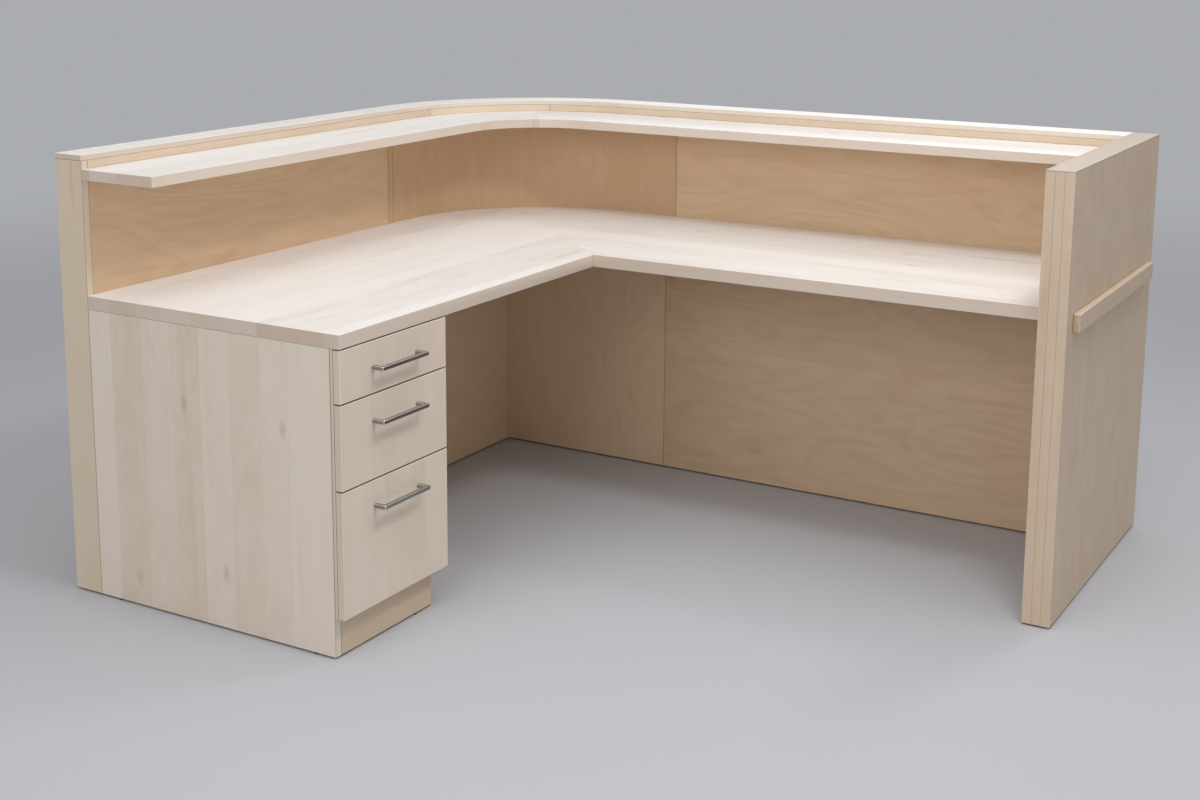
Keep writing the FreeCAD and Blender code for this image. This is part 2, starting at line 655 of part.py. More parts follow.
def make_front(name):
    """A drawer front with softened edges, drilled for its pull."""
    corners = [("front_rear", "0"), ("worktop_front", "0"),
               ("worktop_front", "front_wide"), ("front_rear", "front_wide")]
    blank = plan_piece(f"{name}_front_blank", corners, f"{name}_front_low", f"{name}_front_top")
    doc.recompute()
    pad = blank.Tip
    edges = blank.newObject("PartDesign::Chamfer", f"{name}_front_arris")
    edges.Base = (pad, ["Edge1"])
    edges.UseAllEdges = True
    bind(edges, "Size", "front_arris")
    across = ("front_rear - overrun", "worktop_front + overrun")
    holes = [rod(f"{name}_front_hole_{number}", "screw_hole", across, y, f"{name}_pull_middle")
             for number, y in enumerate(screw_places(), 1)]
    node(cut(f"{name}_drawer_front", blank, holes))


def make_pull(name):
    """A square bar pull with both legs bent back to the front, and the screws that hold it."""
    corners = [
        ("worktop_front", "pull_low"), ("pull_face", "pull_low"), ("pull_face", "pull_high"),
        ("worktop_front", "pull_high"), ("worktop_front", "pull_high_inner"),
        ("pull_inner_face", "pull_high_inner"), ("pull_inner_face", "pull_low_inner"),
        ("worktop_front", "pull_low_inner"),
    ]
    low = f"{name}_pull_middle - pull_bar / 2"
    bar = plan_piece(f"{name}_pull_bar", corners, low, f"{name}_pull_middle + pull_bar / 2")
    doc.recompute()
    pad = bar.Tip
    foot = size("worktop_front") + size("pull_round")
    rounded = [f"Edge{number}" for number, edge in enumerate(pad.Shape.Edges, 1)
               if max(corner.X for corner in edge.Vertexes) > foot]
    edges = bar.newObject("PartDesign::Fillet", f"{name}_pull_rounding")
    edges.Base = (pad, rounded)
    bind(edges, "Radius", "pull_round")
    holes = []
    screws = []
    for number, y in enumerate(screw_places(), 1):
        height = f"{name}_pull_middle"
        head_face = "front_rear - box_board"
        bore = ("worktop_front - overrun", "worktop_front + screw_grip + tip_room")
        holes.append(rod(f"{name}_pull_hole_{number}", "screw_hole", bore, y, height))
        head = (f"{head_face} - screw_head_high", head_face)
        screw = doc.addObject("Part::Fuse", f"{name}_pull_screw_{number}")
        screw.Base = rod(f"{name}_screw_head_{number}", "screw_head_radius", head, y, height)
        shank = (head_face, "worktop_front + screw_grip")
        screw.Tool = rod(f"{name}_screw_shank_{number}", "screw_radius", shank, y, height)
        screws.append(screw)
    group(f"{name}_pull", [cut(f"{name}_pull_drilled", bar, holes)] + screws)


def make_box(name):
    """A drawer box of two sides and two ends, grooved for a bottom that slides in dry."""
    heights = (f"{name}_box_low", f"{name}_box_top")
    inner_y = ("box_left + box_board", "box_right - box_board")
    inner_x = ("box_rear + box_board", "front_rear - box_board")
    groove = (f"{name}_bottom_low", f"{name}_bottom_low + bottom_thick")
    slot_x = (f"{inner_x[0]} - groove_deep", f"{inner_x[1]} + groove_deep")
    slot_y = (f"{inner_y[0]} - groove_deep", f"{inner_y[1]} + groove_deep")
    blanks = {
        "left_side": (("box_rear", "front_rear"), ("box_left", inner_y[0])),
        "right_side": (("box_rear", "front_rear"), (inner_y[1], "box_right")),
        "back_end": (("box_rear", inner_x[0]), inner_y),
        "front_end": ((inner_x[1], "front_rear"), inner_y),
    }
    boards = []
    for part, sides in blanks.items():
        tools = [board(f"{name}_{part}_groove", slot_x, slot_y, groove)]
        if part == "front_end":
            across = (f"{inner_x[1]} - overrun", "front_rear + overrun")
            tools += [rod(f"{name}_box_hole_{number}", "screw_hole", across, y, f"{name}_pull_middle")
                      for number, y in enumerate(screw_places(), 1)]
        boards.append(cut(f"{name}_{part}", board(f"{name}_{part}_blank", *sides, heights), tools))
    group(f"{name}_drawer_box", boards)
    node(board(f"{name}_drawer_bottom", (f"{slot_x[0]} + groove_ease", f"{slot_x[1]} - groove_ease"),
               (f"{slot_y[0]} + groove_ease", f"{slot_y[1]} - groove_ease"), groove))


def channel(label, side, near, far, web, height, hollow, middle):
    """A rolled runner member. Its sides are measured from the cabinet side, and web is the closed one."""
    def across(low, high):
        return (f"bay_left + {low}", f"bay_left + {high}") if side == "left" else (
            f"bay_right - ({high})", f"bay_right - ({low})")
    length = ("runner_rear", "runner_front")
    middle_height = f"{middle} - ({height}) / 2", f"{middle} + ({height}) / 2"
    blank = board(f"{label}_blank", length, across(near, far), middle_height)
    slot = (f"{near} + runner_gauge", f"{far} + overrun") if web == "near" else (
        f"{near} - overrun", f"{far} - runner_gauge")
    past = ("runner_rear - overrun", "runner_front + overrun")
    slot_height = (f"{middle} - ({hollow}) / 2", f"{middle} + ({hollow}) / 2")
    return cut(label, blank, [board(f"{label}_channel", past, across(*slot), slot_height)])


def make_runners():
    """Ball-bearing runners in pairs: a member on the cabinet, a middle one and one on the drawer box."""
    cabinet = []
    for name, _, _ in DRAWERS:
        middle = f"{name}_runner_middle"
        middles = []
        inners = []
        for side in ("left", "right"):
            label = f"{name}_{side}"
            cabinet.append(channel(f"{label}_cabinet_member", side, "0", "runner_lip", "near",
                                   "runner_high", "runner_high - 2 * runner_gauge", middle))
            middles.append(channel(f"{label}_middle_member", side, "middle_reach", "runner_lip", "near",
                                   "middle_high", "channel_high", middle))
            inners.append(channel(f"{label}_drawer_member", side, "inner_reach", "runner_space", "far",
                                  "inner_high", "inner_high - 2 * runner_gauge", middle))
        group(f"{name}_runner_middle_members", middles)
        group(f"{name}_runner_members", inners)
    group("cabinet_runner_members", cabinet)


def check():
    """Stops if anything in the document failed or a sub-part isn't made of sound solids."""
    doc.recompute()
    for item in doc.Objects:
        if {"Invalid", "Error"} & set(item.State):
            raise RuntimeError(f"{item.Label} failed: {item.State}")
    for item in nodes:
        shape = item.Shape
        if shape.isNull() or not shape.isValid():
            raise RuntimeError(f"{item.Label} has no sound solid")
        pieces = len(item.Links) if item.TypeId == "Part::Compound" else 1
        if len(shape.Solids) != pieces:
            raise RuntimeError(f"{item.Label} lost or split a piece")


def write_files():
    """Writes each sub-part to a file of its own."""
    os.makedirs("parts", exist_ok=True)
    for item in nodes:
        item.Shape.exportStep(f"parts/{item.Label}.step")
        print(item.Label, len(item.Shape.Solids), round(item.Shape.Volume))


fill_sheet()
make_wall_skins()
make_wall_frames()
make_caps()
make_top_rails()
make_shelves()
make_worktops()
make_cleats()
make_lower_panels()
make_end_panel()
make_glides()
make_cabinet()
make_face_frame()
for drawer_name, _, _ in DRAWERS:
    make_front(drawer_name)
    make_pull(drawer_name)
    make_box(drawer_name)
make_runners()
check()
write_files()
print(len(nodes), "sub-parts")
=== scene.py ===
"""Looks of an L-shaped reception desk: worked boards, metal, finishes, light and camera.

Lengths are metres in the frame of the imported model: X runs along the right wing, Y to the back, Z up.
"""

import json
import math
import random

import bmesh
import bpy
from bpy.props import FloatProperty, FloatVectorProperty, PointerProperty
from mathutils import Matrix, Vector
from mathutils.bvhtree import BVHTree

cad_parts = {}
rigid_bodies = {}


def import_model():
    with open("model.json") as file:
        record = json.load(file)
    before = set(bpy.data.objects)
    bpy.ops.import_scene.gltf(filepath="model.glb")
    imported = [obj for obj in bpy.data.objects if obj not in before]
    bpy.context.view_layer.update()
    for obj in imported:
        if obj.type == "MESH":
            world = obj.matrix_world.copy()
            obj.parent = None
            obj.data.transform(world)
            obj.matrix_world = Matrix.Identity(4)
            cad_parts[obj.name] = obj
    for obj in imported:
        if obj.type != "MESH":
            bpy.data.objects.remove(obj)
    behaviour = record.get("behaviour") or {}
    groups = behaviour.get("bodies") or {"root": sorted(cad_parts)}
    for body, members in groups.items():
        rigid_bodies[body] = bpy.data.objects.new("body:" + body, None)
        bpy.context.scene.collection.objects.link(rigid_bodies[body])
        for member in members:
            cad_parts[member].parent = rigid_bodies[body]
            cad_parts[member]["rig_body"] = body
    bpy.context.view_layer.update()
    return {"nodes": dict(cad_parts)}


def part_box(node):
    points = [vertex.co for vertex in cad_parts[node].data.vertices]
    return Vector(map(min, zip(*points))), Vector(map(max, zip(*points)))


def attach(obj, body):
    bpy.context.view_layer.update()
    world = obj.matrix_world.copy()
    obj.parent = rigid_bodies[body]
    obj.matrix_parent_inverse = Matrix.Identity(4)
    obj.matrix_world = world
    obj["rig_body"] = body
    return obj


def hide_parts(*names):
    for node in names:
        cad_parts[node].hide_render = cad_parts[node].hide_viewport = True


bl_info = {
    "name": "Reception desk",
    "version": (1, 0, 0),
    "blender": (4, 5, 0),
    "location": "View3D > Sidebar > Desk",
    "description": "Finishes, worked pieces, stage and camera of an L-shaped reception desk",
    "category": "Object",
}

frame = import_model()

# The round corner of the wall turns about one upright line
CAP_LOW, CAP_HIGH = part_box("corner_cap")
TURN = Vector((CAP_HIGH.x, CAP_LOW.y))
INNER_RADIUS = TURN.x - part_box("left_wall_inner_skin")[1].x

# Arrises lower than this get painted shade, for the shade between desk and floor
FLOOR_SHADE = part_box("pedestal_gable")[0].z + 0.003


def linear(code):
    """An sRGB hex colour as the linear numbers that shaders use."""
    shares = [int(code[place:place + 2], 16) / 255 for place in (1, 3, 5)]
    return [share / 12.92 if share <= 0.04045 else ((share + 0.055) / 1.055) ** 2.4
            for share in shares]


def add(tree, kind, settings=(), inputs=()):
    """Adds a node with its settings, and with a value or a link for each named or numbered input."""
    node = tree.nodes.new(kind)
    for name, value in dict(settings).items():
        setattr(node, name, value)
    by_identifier = {socket.identifier: socket for socket in node.inputs}
    for name, value in dict(inputs).items():
        socket = by_identifier[name] if name in by_identifier else node.inputs[name]
        if isinstance(value, bpy.types.NodeSocket):
            tree.links.new(value, socket)
        else:
            socket.default_value = value
    return node


# Finishes


class DeskLook(bpy.types.PropertyGroup):
    """Sizes and colours of the desk's finishes."""

    arris: FloatProperty(
        name="Arris", description="Width of the rounding that sandpaper leaves on a board's edges",
        default=0.001, min=0.0002, max=0.002, unit="LENGTH", precision=4)
    stave: FloatProperty(
        name="Stave", description="Mean width of the staves in an edge-glued panel",
        default=0.09, min=0.03, max=0.2, unit="LENGTH")
    ply: FloatProperty(
        name="Ply", description="Thickness of one ply in the edge of birch plywood",
        default=0.0015, min=0.0005, max=0.004, unit="LENGTH", precision=4)
    top: FloatVectorProperty(
        name="Tops", description="Pale white-oiled maple of worktops, shelf and caps",
        default=linear("#F1ECE7"), min=0, max=1, subtype="COLOR")
    side: FloatVectorProperty(
        name="Sides", description="Maple of gable and drawer fronts",
        default=linear("#E6D8C7"), min=0, max=1, subtype="COLOR")
    post: FloatVectorProperty(
        name="Posts", description="Tan maple of end board, end panel, rails, face frame and plinth",
        default=linear("#DCC9B1"), min=0, max=1, subtype="COLOR")
    lipping: FloatVectorProperty(
        name="Lipping", description="Dull maple of the end panel's thin top lipping",
        default=linear("#BFB2A5"), min=0, max=1, subtype="COLOR")
    veneer: FloatVectorProperty(
        name="Veneer", description="Tan rotary-cut maple veneer of skins, lower panels and cabinet",
        default=linear("#E3C7A6"), min=0, max=1, subtype="COLOR")
    heart: FloatVectorProperty(
        name="Heartwood", description="Brown of rings, streaks and pin knots",
        default=linear("#A87A4E"), min=0, max=1, subtype="COLOR")
    birch: FloatVectorProperty(
        name="Birch", description="Birch plywood of the drawer boxes",
        default=linear("#E2CDAE"), min=0, max=1, subtype="COLOR")
    pine: FloatVectorProperty(
        name="Softwood", description="Planed softwood of studs, plates and cleats",
        default=linear("#DDBE8B"), min=0, max=1, subtype="COLOR")
    steel: FloatVectorProperty(
        name="Steel", description="Brushed steel of the pulls",
        default=linear("#9D9D9C"), min=0, max=1, subtype="COLOR")
    zinc: FloatVectorProperty(
        name="Zinc", description="Zinc plating of runners, plates and screws",
        default=linear("#C2C5C8"), min=0, max=1, subtype="COLOR")
    nylon: FloatVectorProperty(
        name="Nylon", description="Dark nylon of the glides",
        default=linear("#2B2A29"), min=0, max=1, subtype="COLOR")
    floor: FloatVectorProperty(
        name="Floor", description="Pale plain floor",
        default=linear("#C0C1C6"), min=0, max=1, subtype="COLOR")
    backdrop: FloatVectorProperty(
        name="Backdrop", description="Plain background behind the floor",
        default=linear("#AAACB0"), min=0, max=1, subtype="COLOR")


def new_surface(name, roughness):
    """A material with one shader of plain roughness, and that shader."""
    material = bpy.data.materials.new(name)
    material.use_nodes = True
    surface = material.node_tree.nodes["Principled BSDF"]
    surface.inputs["Roughness"].default_value = roughness
    return material, material.node_tree, surface


def mixed(colour, other, share):
    """A colour part of the way to another."""
    return [a + (b - a) * share for a, b in zip(colour, other)] + [1.0]


# How often fibres and mineral streaks change along, across and through a board, per metre. Fibres of
# about 1 mm are drawn 4 mm wide, because finer ones would not show from across a room
FIBRES = (8, 220, 220)
STREAKS = (1.6, 24, 24)

# How far end grain, the painted highlight on arrises and the painted shade in joints, gaps and along
# the floor take over from the colour of the wood
END_GRAIN = 0.18
ARRIS_HIGHLIGHT = 0.25
PAINTED_SHADE_STRENGTH = 0.92

# The specular level of oiled wood, which falls to nothing where shade is painted, as in the depth of a
# joint
OILED = 0.4


def wood(name, colour, heart, contour, rings, weights, mottle=(22, 6, 6), stave=0.3, streak=0.0,
         knots=0.0, plies=0.0, rim=None, rim_share=0.0, contrast=0.3, roughness=0.5, relief=0.12):
    """Wood whose rings, fibres, staves, streaks and knots follow each board's own grain.

    contour and mottle are how often the figure and its clouds change along, across and through the
    board, per metre. rings is the number of growth rings between two hollows of the figure. weights are
    the shares of rings, fibres, clouds, staves and boards in the tone. stave is the mean width of a
    stave and plies the thickness of a ply, in metres. streak is how strong the mineral streaks are, and
    knots how many cells for pin knots there are per metre. rim is the colour that narrow faces have
    more of than broad ones, by rim_share. contrast is the way from the colour to its heartwood.
    """
    material, tree, surface = new_surface(name, roughness)
    place = add(tree, "ShaderNodeAttribute", {"attribute_name": "grain"})
    axes = add(tree, "ShaderNodeSeparateXYZ", {}, {"Vector": place.outputs["Vector"]})
    board = add(tree, "ShaderNodeAttribute", {"attribute_name": "board"})

    # Each stave has its own tone and its own stretch of figure
    staves = add(tree, "ShaderNodeTexVoronoi", {"voronoi_dimensions": "1D"},
                 {"W": axes.outputs["Y"], "Scale": 1 / stave, "Randomness": 0.55})
    stave_tone = add(tree, "ShaderNodeSeparateColor", {}, {"Color": staves.outputs["Color"]})
    moved = add(tree, "ShaderNodeVectorMath", {"operation": "MULTIPLY_ADD"},
                {0: staves.outputs["Color"], 1: (3, 0.7, 0.4), 2: place.outputs["Vector"]})

    # Growth rings are the height lines of a stretched hill
    hill_at = add(tree, "ShaderNodeVectorMath", {"operation": "MULTIPLY"},
                  {0: moved.outputs["Vector"], 1: contour})
    hill = add(tree, "ShaderNodeTexNoise", {},
               {"Vector": hill_at.outputs["Vector"], "Scale": 1, "Detail": 2.5, "Roughness": 0.42,
                "Distortion": 0.35})
    height = add(tree, "ShaderNodeMath", {"operation": "MULTIPLY"}, {0: hill.outputs["Fac"], 1: rings})
    ring = add(tree, "ShaderNodeMath", {"operation": "FRACT"}, {0: height.outputs["Value"]})
    late = add(tree, "ShaderNodeValToRGB", {}, {"Fac": ring.outputs["Value"]})
    late.color_ramp.interpolation = "EASE"
    late.color_ramp.elements[0].position = 0.25
    late.color_ramp.elements[0].color = (0, 0, 0, 1)
    late.color_ramp.elements[1].position = 0.8
    late.color_ramp.elements[1].color = (1, 1, 1, 1)
    back = late.color_ramp.elements.new(1.0)
    back.color = (0, 0, 0, 1)

    # Fine fibres run along the grain
    fibre_at = add(tree, "ShaderNodeVectorMath", {"operation": "MULTIPLY"},
                   {0: moved.outputs["Vector"], 1: FIBRES})
    fibre = add(tree, "ShaderNodeTexNoise", {},
                {"Vector": fibre_at.outputs["Vector"], "Scale": 1, "Detail": 3, "Roughness": 0.6})

    # Light catches the wavy fibres in soft clouds
    cloud_at = add(tree, "ShaderNodeVectorMath", {"operation": "MULTIPLY"},
                   {0: moved.outputs["Vector"], 1: mottle})
    cloud = add(tree, "ShaderNodeTexNoise", {},
                {"Vector": cloud_at.outputs["Vector"], "Scale": 1, "Detail": 4, "Roughness": 0.62,
                 "Distortion": 0.9})

    parts = (late.outputs["Color"], fibre.outputs["Fac"], cloud.outputs["Fac"],
             stave_tone.outputs["Red"], board.outputs["Fac"])
    tone = 0.5 - sum(weights) / 2
    for part, weight in zip(parts, weights):
        step = add(tree, "ShaderNodeMath", {"operation": "MULTIPLY_ADD"}, {0: part, 1: weight, 2: tone})
        tone = step.outputs["Value"]
    ramp = add(tree, "ShaderNodeValToRGB", {}, {"Fac": tone})
    ramp.color_ramp.elements[0].position = 0.1
    ramp.color_ramp.elements[0].color = mixed(colour, (1, 1, 1), 0.16)
    ramp.color_ramp.elements[1].position = 0.95
    ramp.color_ramp.elements[1].color = mixed(colour, heart, contrast)
    middle = ramp.color_ramp.elements.new(0.5)
    middle.color = colour + [1.0]
    shade = ramp.outputs["Color"]

    # Tan mineral streaks run a long way along the grain
    if streak:
        streak_at = add(tree, "ShaderNodeVectorMath", {"operation": "MULTIPLY"},
                        {0: moved.outputs["Vector"], 1: STREAKS})
        vein = add(tree, "ShaderNodeTexNoise", {},
                   {"Vector": streak_at.outputs["Vector"], "Scale": 1, "Detail": 3, "Roughness": 0.55})
        amount = add(tree, "ShaderNodeMapRange", {"interpolation_type": "SMOOTHSTEP"},
                     {"Value": vein.outputs["Fac"], "From Min": 0.6, "From Max": 0.78,
                      "To Max": streak})
        veined = add(tree, "ShaderNodeMix", {"data_type": "RGBA"},
                     {"Factor_Float": amount.outputs["Result"], "A_Color": shade,
                      "B_Color": mixed(heart, colour, 0.15)})
        shade = veined.outputs[2]

    # A pin knot is a tan eye, longer along the grain, in one cell of a wide net out of four
    if knots:
        net_at = add(tree, "ShaderNodeVectorMath", {"operation": "MULTIPLY"},
                     {0: place.outputs["Vector"], 1: (0.45, 1, 1)})
        net = add(tree, "ShaderNodeTexVoronoi", {"voronoi_dimensions": "2D"},
                  {"Vector": net_at.outputs["Vector"], "Scale": knots})
        eye = add(tree, "ShaderNodeMapRange", {"interpolation_type": "SMOOTHERSTEP"},
                  {"Value": net.outputs["Distance"], "From Min": 0.015 * knots, "From Max": 0.0,
                   "To Max": 0.28})
        chance = add(tree, "ShaderNodeSeparateColor", {}, {"Color": net.outputs["Color"]})
        chosen = add(tree, "ShaderNodeMath", {"operation": "GREATER_THAN"},
                     {0: chance.outputs["Red"], 1: 0.72})
        knot = add(tree, "ShaderNodeMath", {"operation": "MULTIPLY"},
                   {0: eye.outputs["Result"], 1: chosen.outputs["Value"]})
        knotted = add(tree, "ShaderNodeMix", {"data_type": "RGBA"},
                      {"Factor_Float": knot.outputs["Value"], "A_Color": shade,
                       "B_Color": heart + [1.0]})
        shade = knotted.outputs[2]

    # Narrow faces have their own colour, and those of plywood show its plies, pale and brown by turns
    edge = add(tree, "ShaderNodeAttribute", {"attribute_name": "edge"})
    amount = edge.outputs["Fac"]
    if plies:
        layer = add(tree, "ShaderNodeMath", {"operation": "MULTIPLY"},
                    {0: axes.outputs["Z"], 1: 1 / plies})
        turn = add(tree, "ShaderNodeMath", {"operation": "PINGPONG"}, {0: layer.outputs["Value"], 1: 1})
        sharp = add(tree, "ShaderNodeMapRange", {"interpolation_type": "SMOOTHSTEP"},
                    {"Value": turn.outputs["Value"], "From Min": 0.4, "From Max": 0.6})
        brown = add(tree, "ShaderNodeMath", {"operation": "MULTIPLY"},
                    {0: sharp.outputs["Result"], 1: edge.outputs["Fac"]})
        amount = brown.outputs["Value"]
    if rim:
        soft = add(tree, "ShaderNodeMath", {"operation": "MULTIPLY"}, {0: amount, 1: rim_share})
        varied = add(tree, "ShaderNodeMix", {"data_type": "RGBA"},
                     {"Factor_Float": stave_tone.outputs["Red"], "A_Color": mixed(rim, (1, 1, 1), 0.06),
                      "B_Color": mixed(rim, heart, 0.36)})
        layered = add(tree, "ShaderNodeMix", {"data_type": "RGBA"},
                      {"Factor_Float": soft.outputs["Value"], "A_Color": shade,
                       "B_Color": varied.outputs[2]})
        shade = layered.outputs[2]

    # End grain drinks more oil and goes darker. Arrises get a painted highlight, and joints, gaps and
    # arrises near the floor get painted shade
    end = add(tree, "ShaderNodeAttribute", {"attribute_name": "end"})
    end_share = add(tree, "ShaderNodeMath", {"operation": "MULTIPLY"},
                    {0: end.outputs["Fac"], 1: END_GRAIN})
    ended = add(tree, "ShaderNodeMix", {"data_type": "RGBA"},
                {"Factor_Float": end_share.outputs["Value"], "A_Color": shade,
                 "B_Color": heart + [1.0]})
    # Painted highlight: arrises go part of the way towards near white
    arris = add(tree, "ShaderNodeAttribute", {"attribute_name": "arris"})
    arris_highlight_share = add(tree, "ShaderNodeMath", {"operation": "MULTIPLY"},
                      {0: arris.outputs["Fac"], 1: ARRIS_HIGHLIGHT})
    eased = add(tree, "ShaderNodeMix", {"data_type": "RGBA"},
                {"Factor_Float": arris_highlight_share.outputs["Value"], "A_Color": ended.outputs[2],
                 "B_Color": (1, 0.98, 0.95, 1)})
    # Painted shade: joints, gaps and arrises near the floor go towards a dark brown
    painted_shade = add(tree, "ShaderNodeAttribute", {"attribute_name": "painted_shade"})
    painted_shade_share = add(tree, "ShaderNodeMath", {"operation": "MULTIPLY"},
                     {0: painted_shade.outputs["Fac"], 1: PAINTED_SHADE_STRENGTH})
    with_painted_shade = add(tree, "ShaderNodeMix", {"data_type": "RGBA"},
                 {"Factor_Float": painted_shade_share.outputs["Value"], "A_Color": eased.outputs[2],
                  "B_Color": mixed(heart, (0, 0, 0), 0.64)})
    tree.links.new(with_painted_shade.outputs[2], surface.inputs["Base Color"])
    # Where shade is painted, the specular level falls to nothing
    shine = add(tree, "ShaderNodeMath", {"operation": "MULTIPLY_ADD"},
                {0: painted_shade.outputs["Fac"], 1: -OILED, 2: OILED})
    surface.inputs["Specular IOR Level"].default_value = OILED
    tree.links.new(shine.outputs["Value"], surface.inputs["Specular IOR Level"])

    # Oil lies unevenly over the fibres, and late wood stands up a little after sanding
    sheen = add(tree, "ShaderNodeMapRange", {},
                {"Value": fibre.outputs["Fac"], "To Min": roughness - 0.08, "To Max": roughness + 0.1})
    tree.links.new(sheen.outputs["Result"], surface.inputs["Roughness"])
    ridge = add(tree, "ShaderNodeMath", {"operation": "MULTIPLY_ADD"},
                {0: late.outputs["Color"], 1: 0.3, 2: fibre.outputs["Fac"]})
    bump = add(tree, "ShaderNodeBump", {},
               {"Strength": relief, "Distance": 0.0006, "Height": ridge.outputs["Value"]})
    tree.links.new(bump.outputs["Normal"], surface.inputs["Normal"])
    return material


def metal(name, colour, roughness, lines, depth):
    """Metal with fine lines, slightly uneven gloss and a painted highlight on its roundings; lines are
    the changes per metre on each axis.
    """
    material, tree, surface = new_surface(name, roughness)
    surface.inputs["Metallic"].default_value = 1.0
    place = add(tree, "ShaderNodeTexCoord")
    stretched = add(tree, "ShaderNodeVectorMath", {"operation": "MULTIPLY"},
                    {0: place.outputs["Object"], 1: lines})
    line = add(tree, "ShaderNodeTexNoise", {},
               {"Vector": stretched.outputs["Vector"], "Scale": 1, "Detail": 3, "Roughness": 0.6})
    ramp = add(tree, "ShaderNodeValToRGB", {}, {"Fac": line.outputs["Fac"]})
    ramp.color_ramp.elements[0].position = 0.3
    ramp.color_ramp.elements[0].color = mixed(colour, (0, 0, 0), 0.18)
    ramp.color_ramp.elements[1].position = 0.7
    ramp.color_ramp.elements[1].color = mixed(colour, (1, 1, 1), 0.1)
    # Painted highlight: the roundings are paler than the flats, for the light that they catch
    arris = add(tree, "ShaderNodeAttribute", {"attribute_name": "arris"})
    rounding_highlight = add(tree, "ShaderNodeMix", {"data_type": "RGBA"},
                   {"Factor_Float": arris.outputs["Fac"], "A_Color": ramp.outputs["Color"],
                    "B_Color": mixed(colour, (1, 1, 1), 0.75)})
    tree.links.new(rounding_highlight.outputs[2], surface.inputs["Base Color"])
    gloss = add(tree, "ShaderNodeMapRange", {},
                {"Value": line.outputs["Fac"], "From Min": 0.3, "From Max": 0.7,
                 "To Min": roughness - 0.07, "To Max": roughness + 0.07})
    tree.links.new(gloss.outputs["Result"], surface.inputs["Roughness"])
    bump = add(tree, "ShaderNodeBump", {},
               {"Strength": depth, "Distance": 0.0002, "Height": line.outputs["Fac"]})
    tree.links.new(bump.outputs["Normal"], surface.inputs["Normal"])
    return material


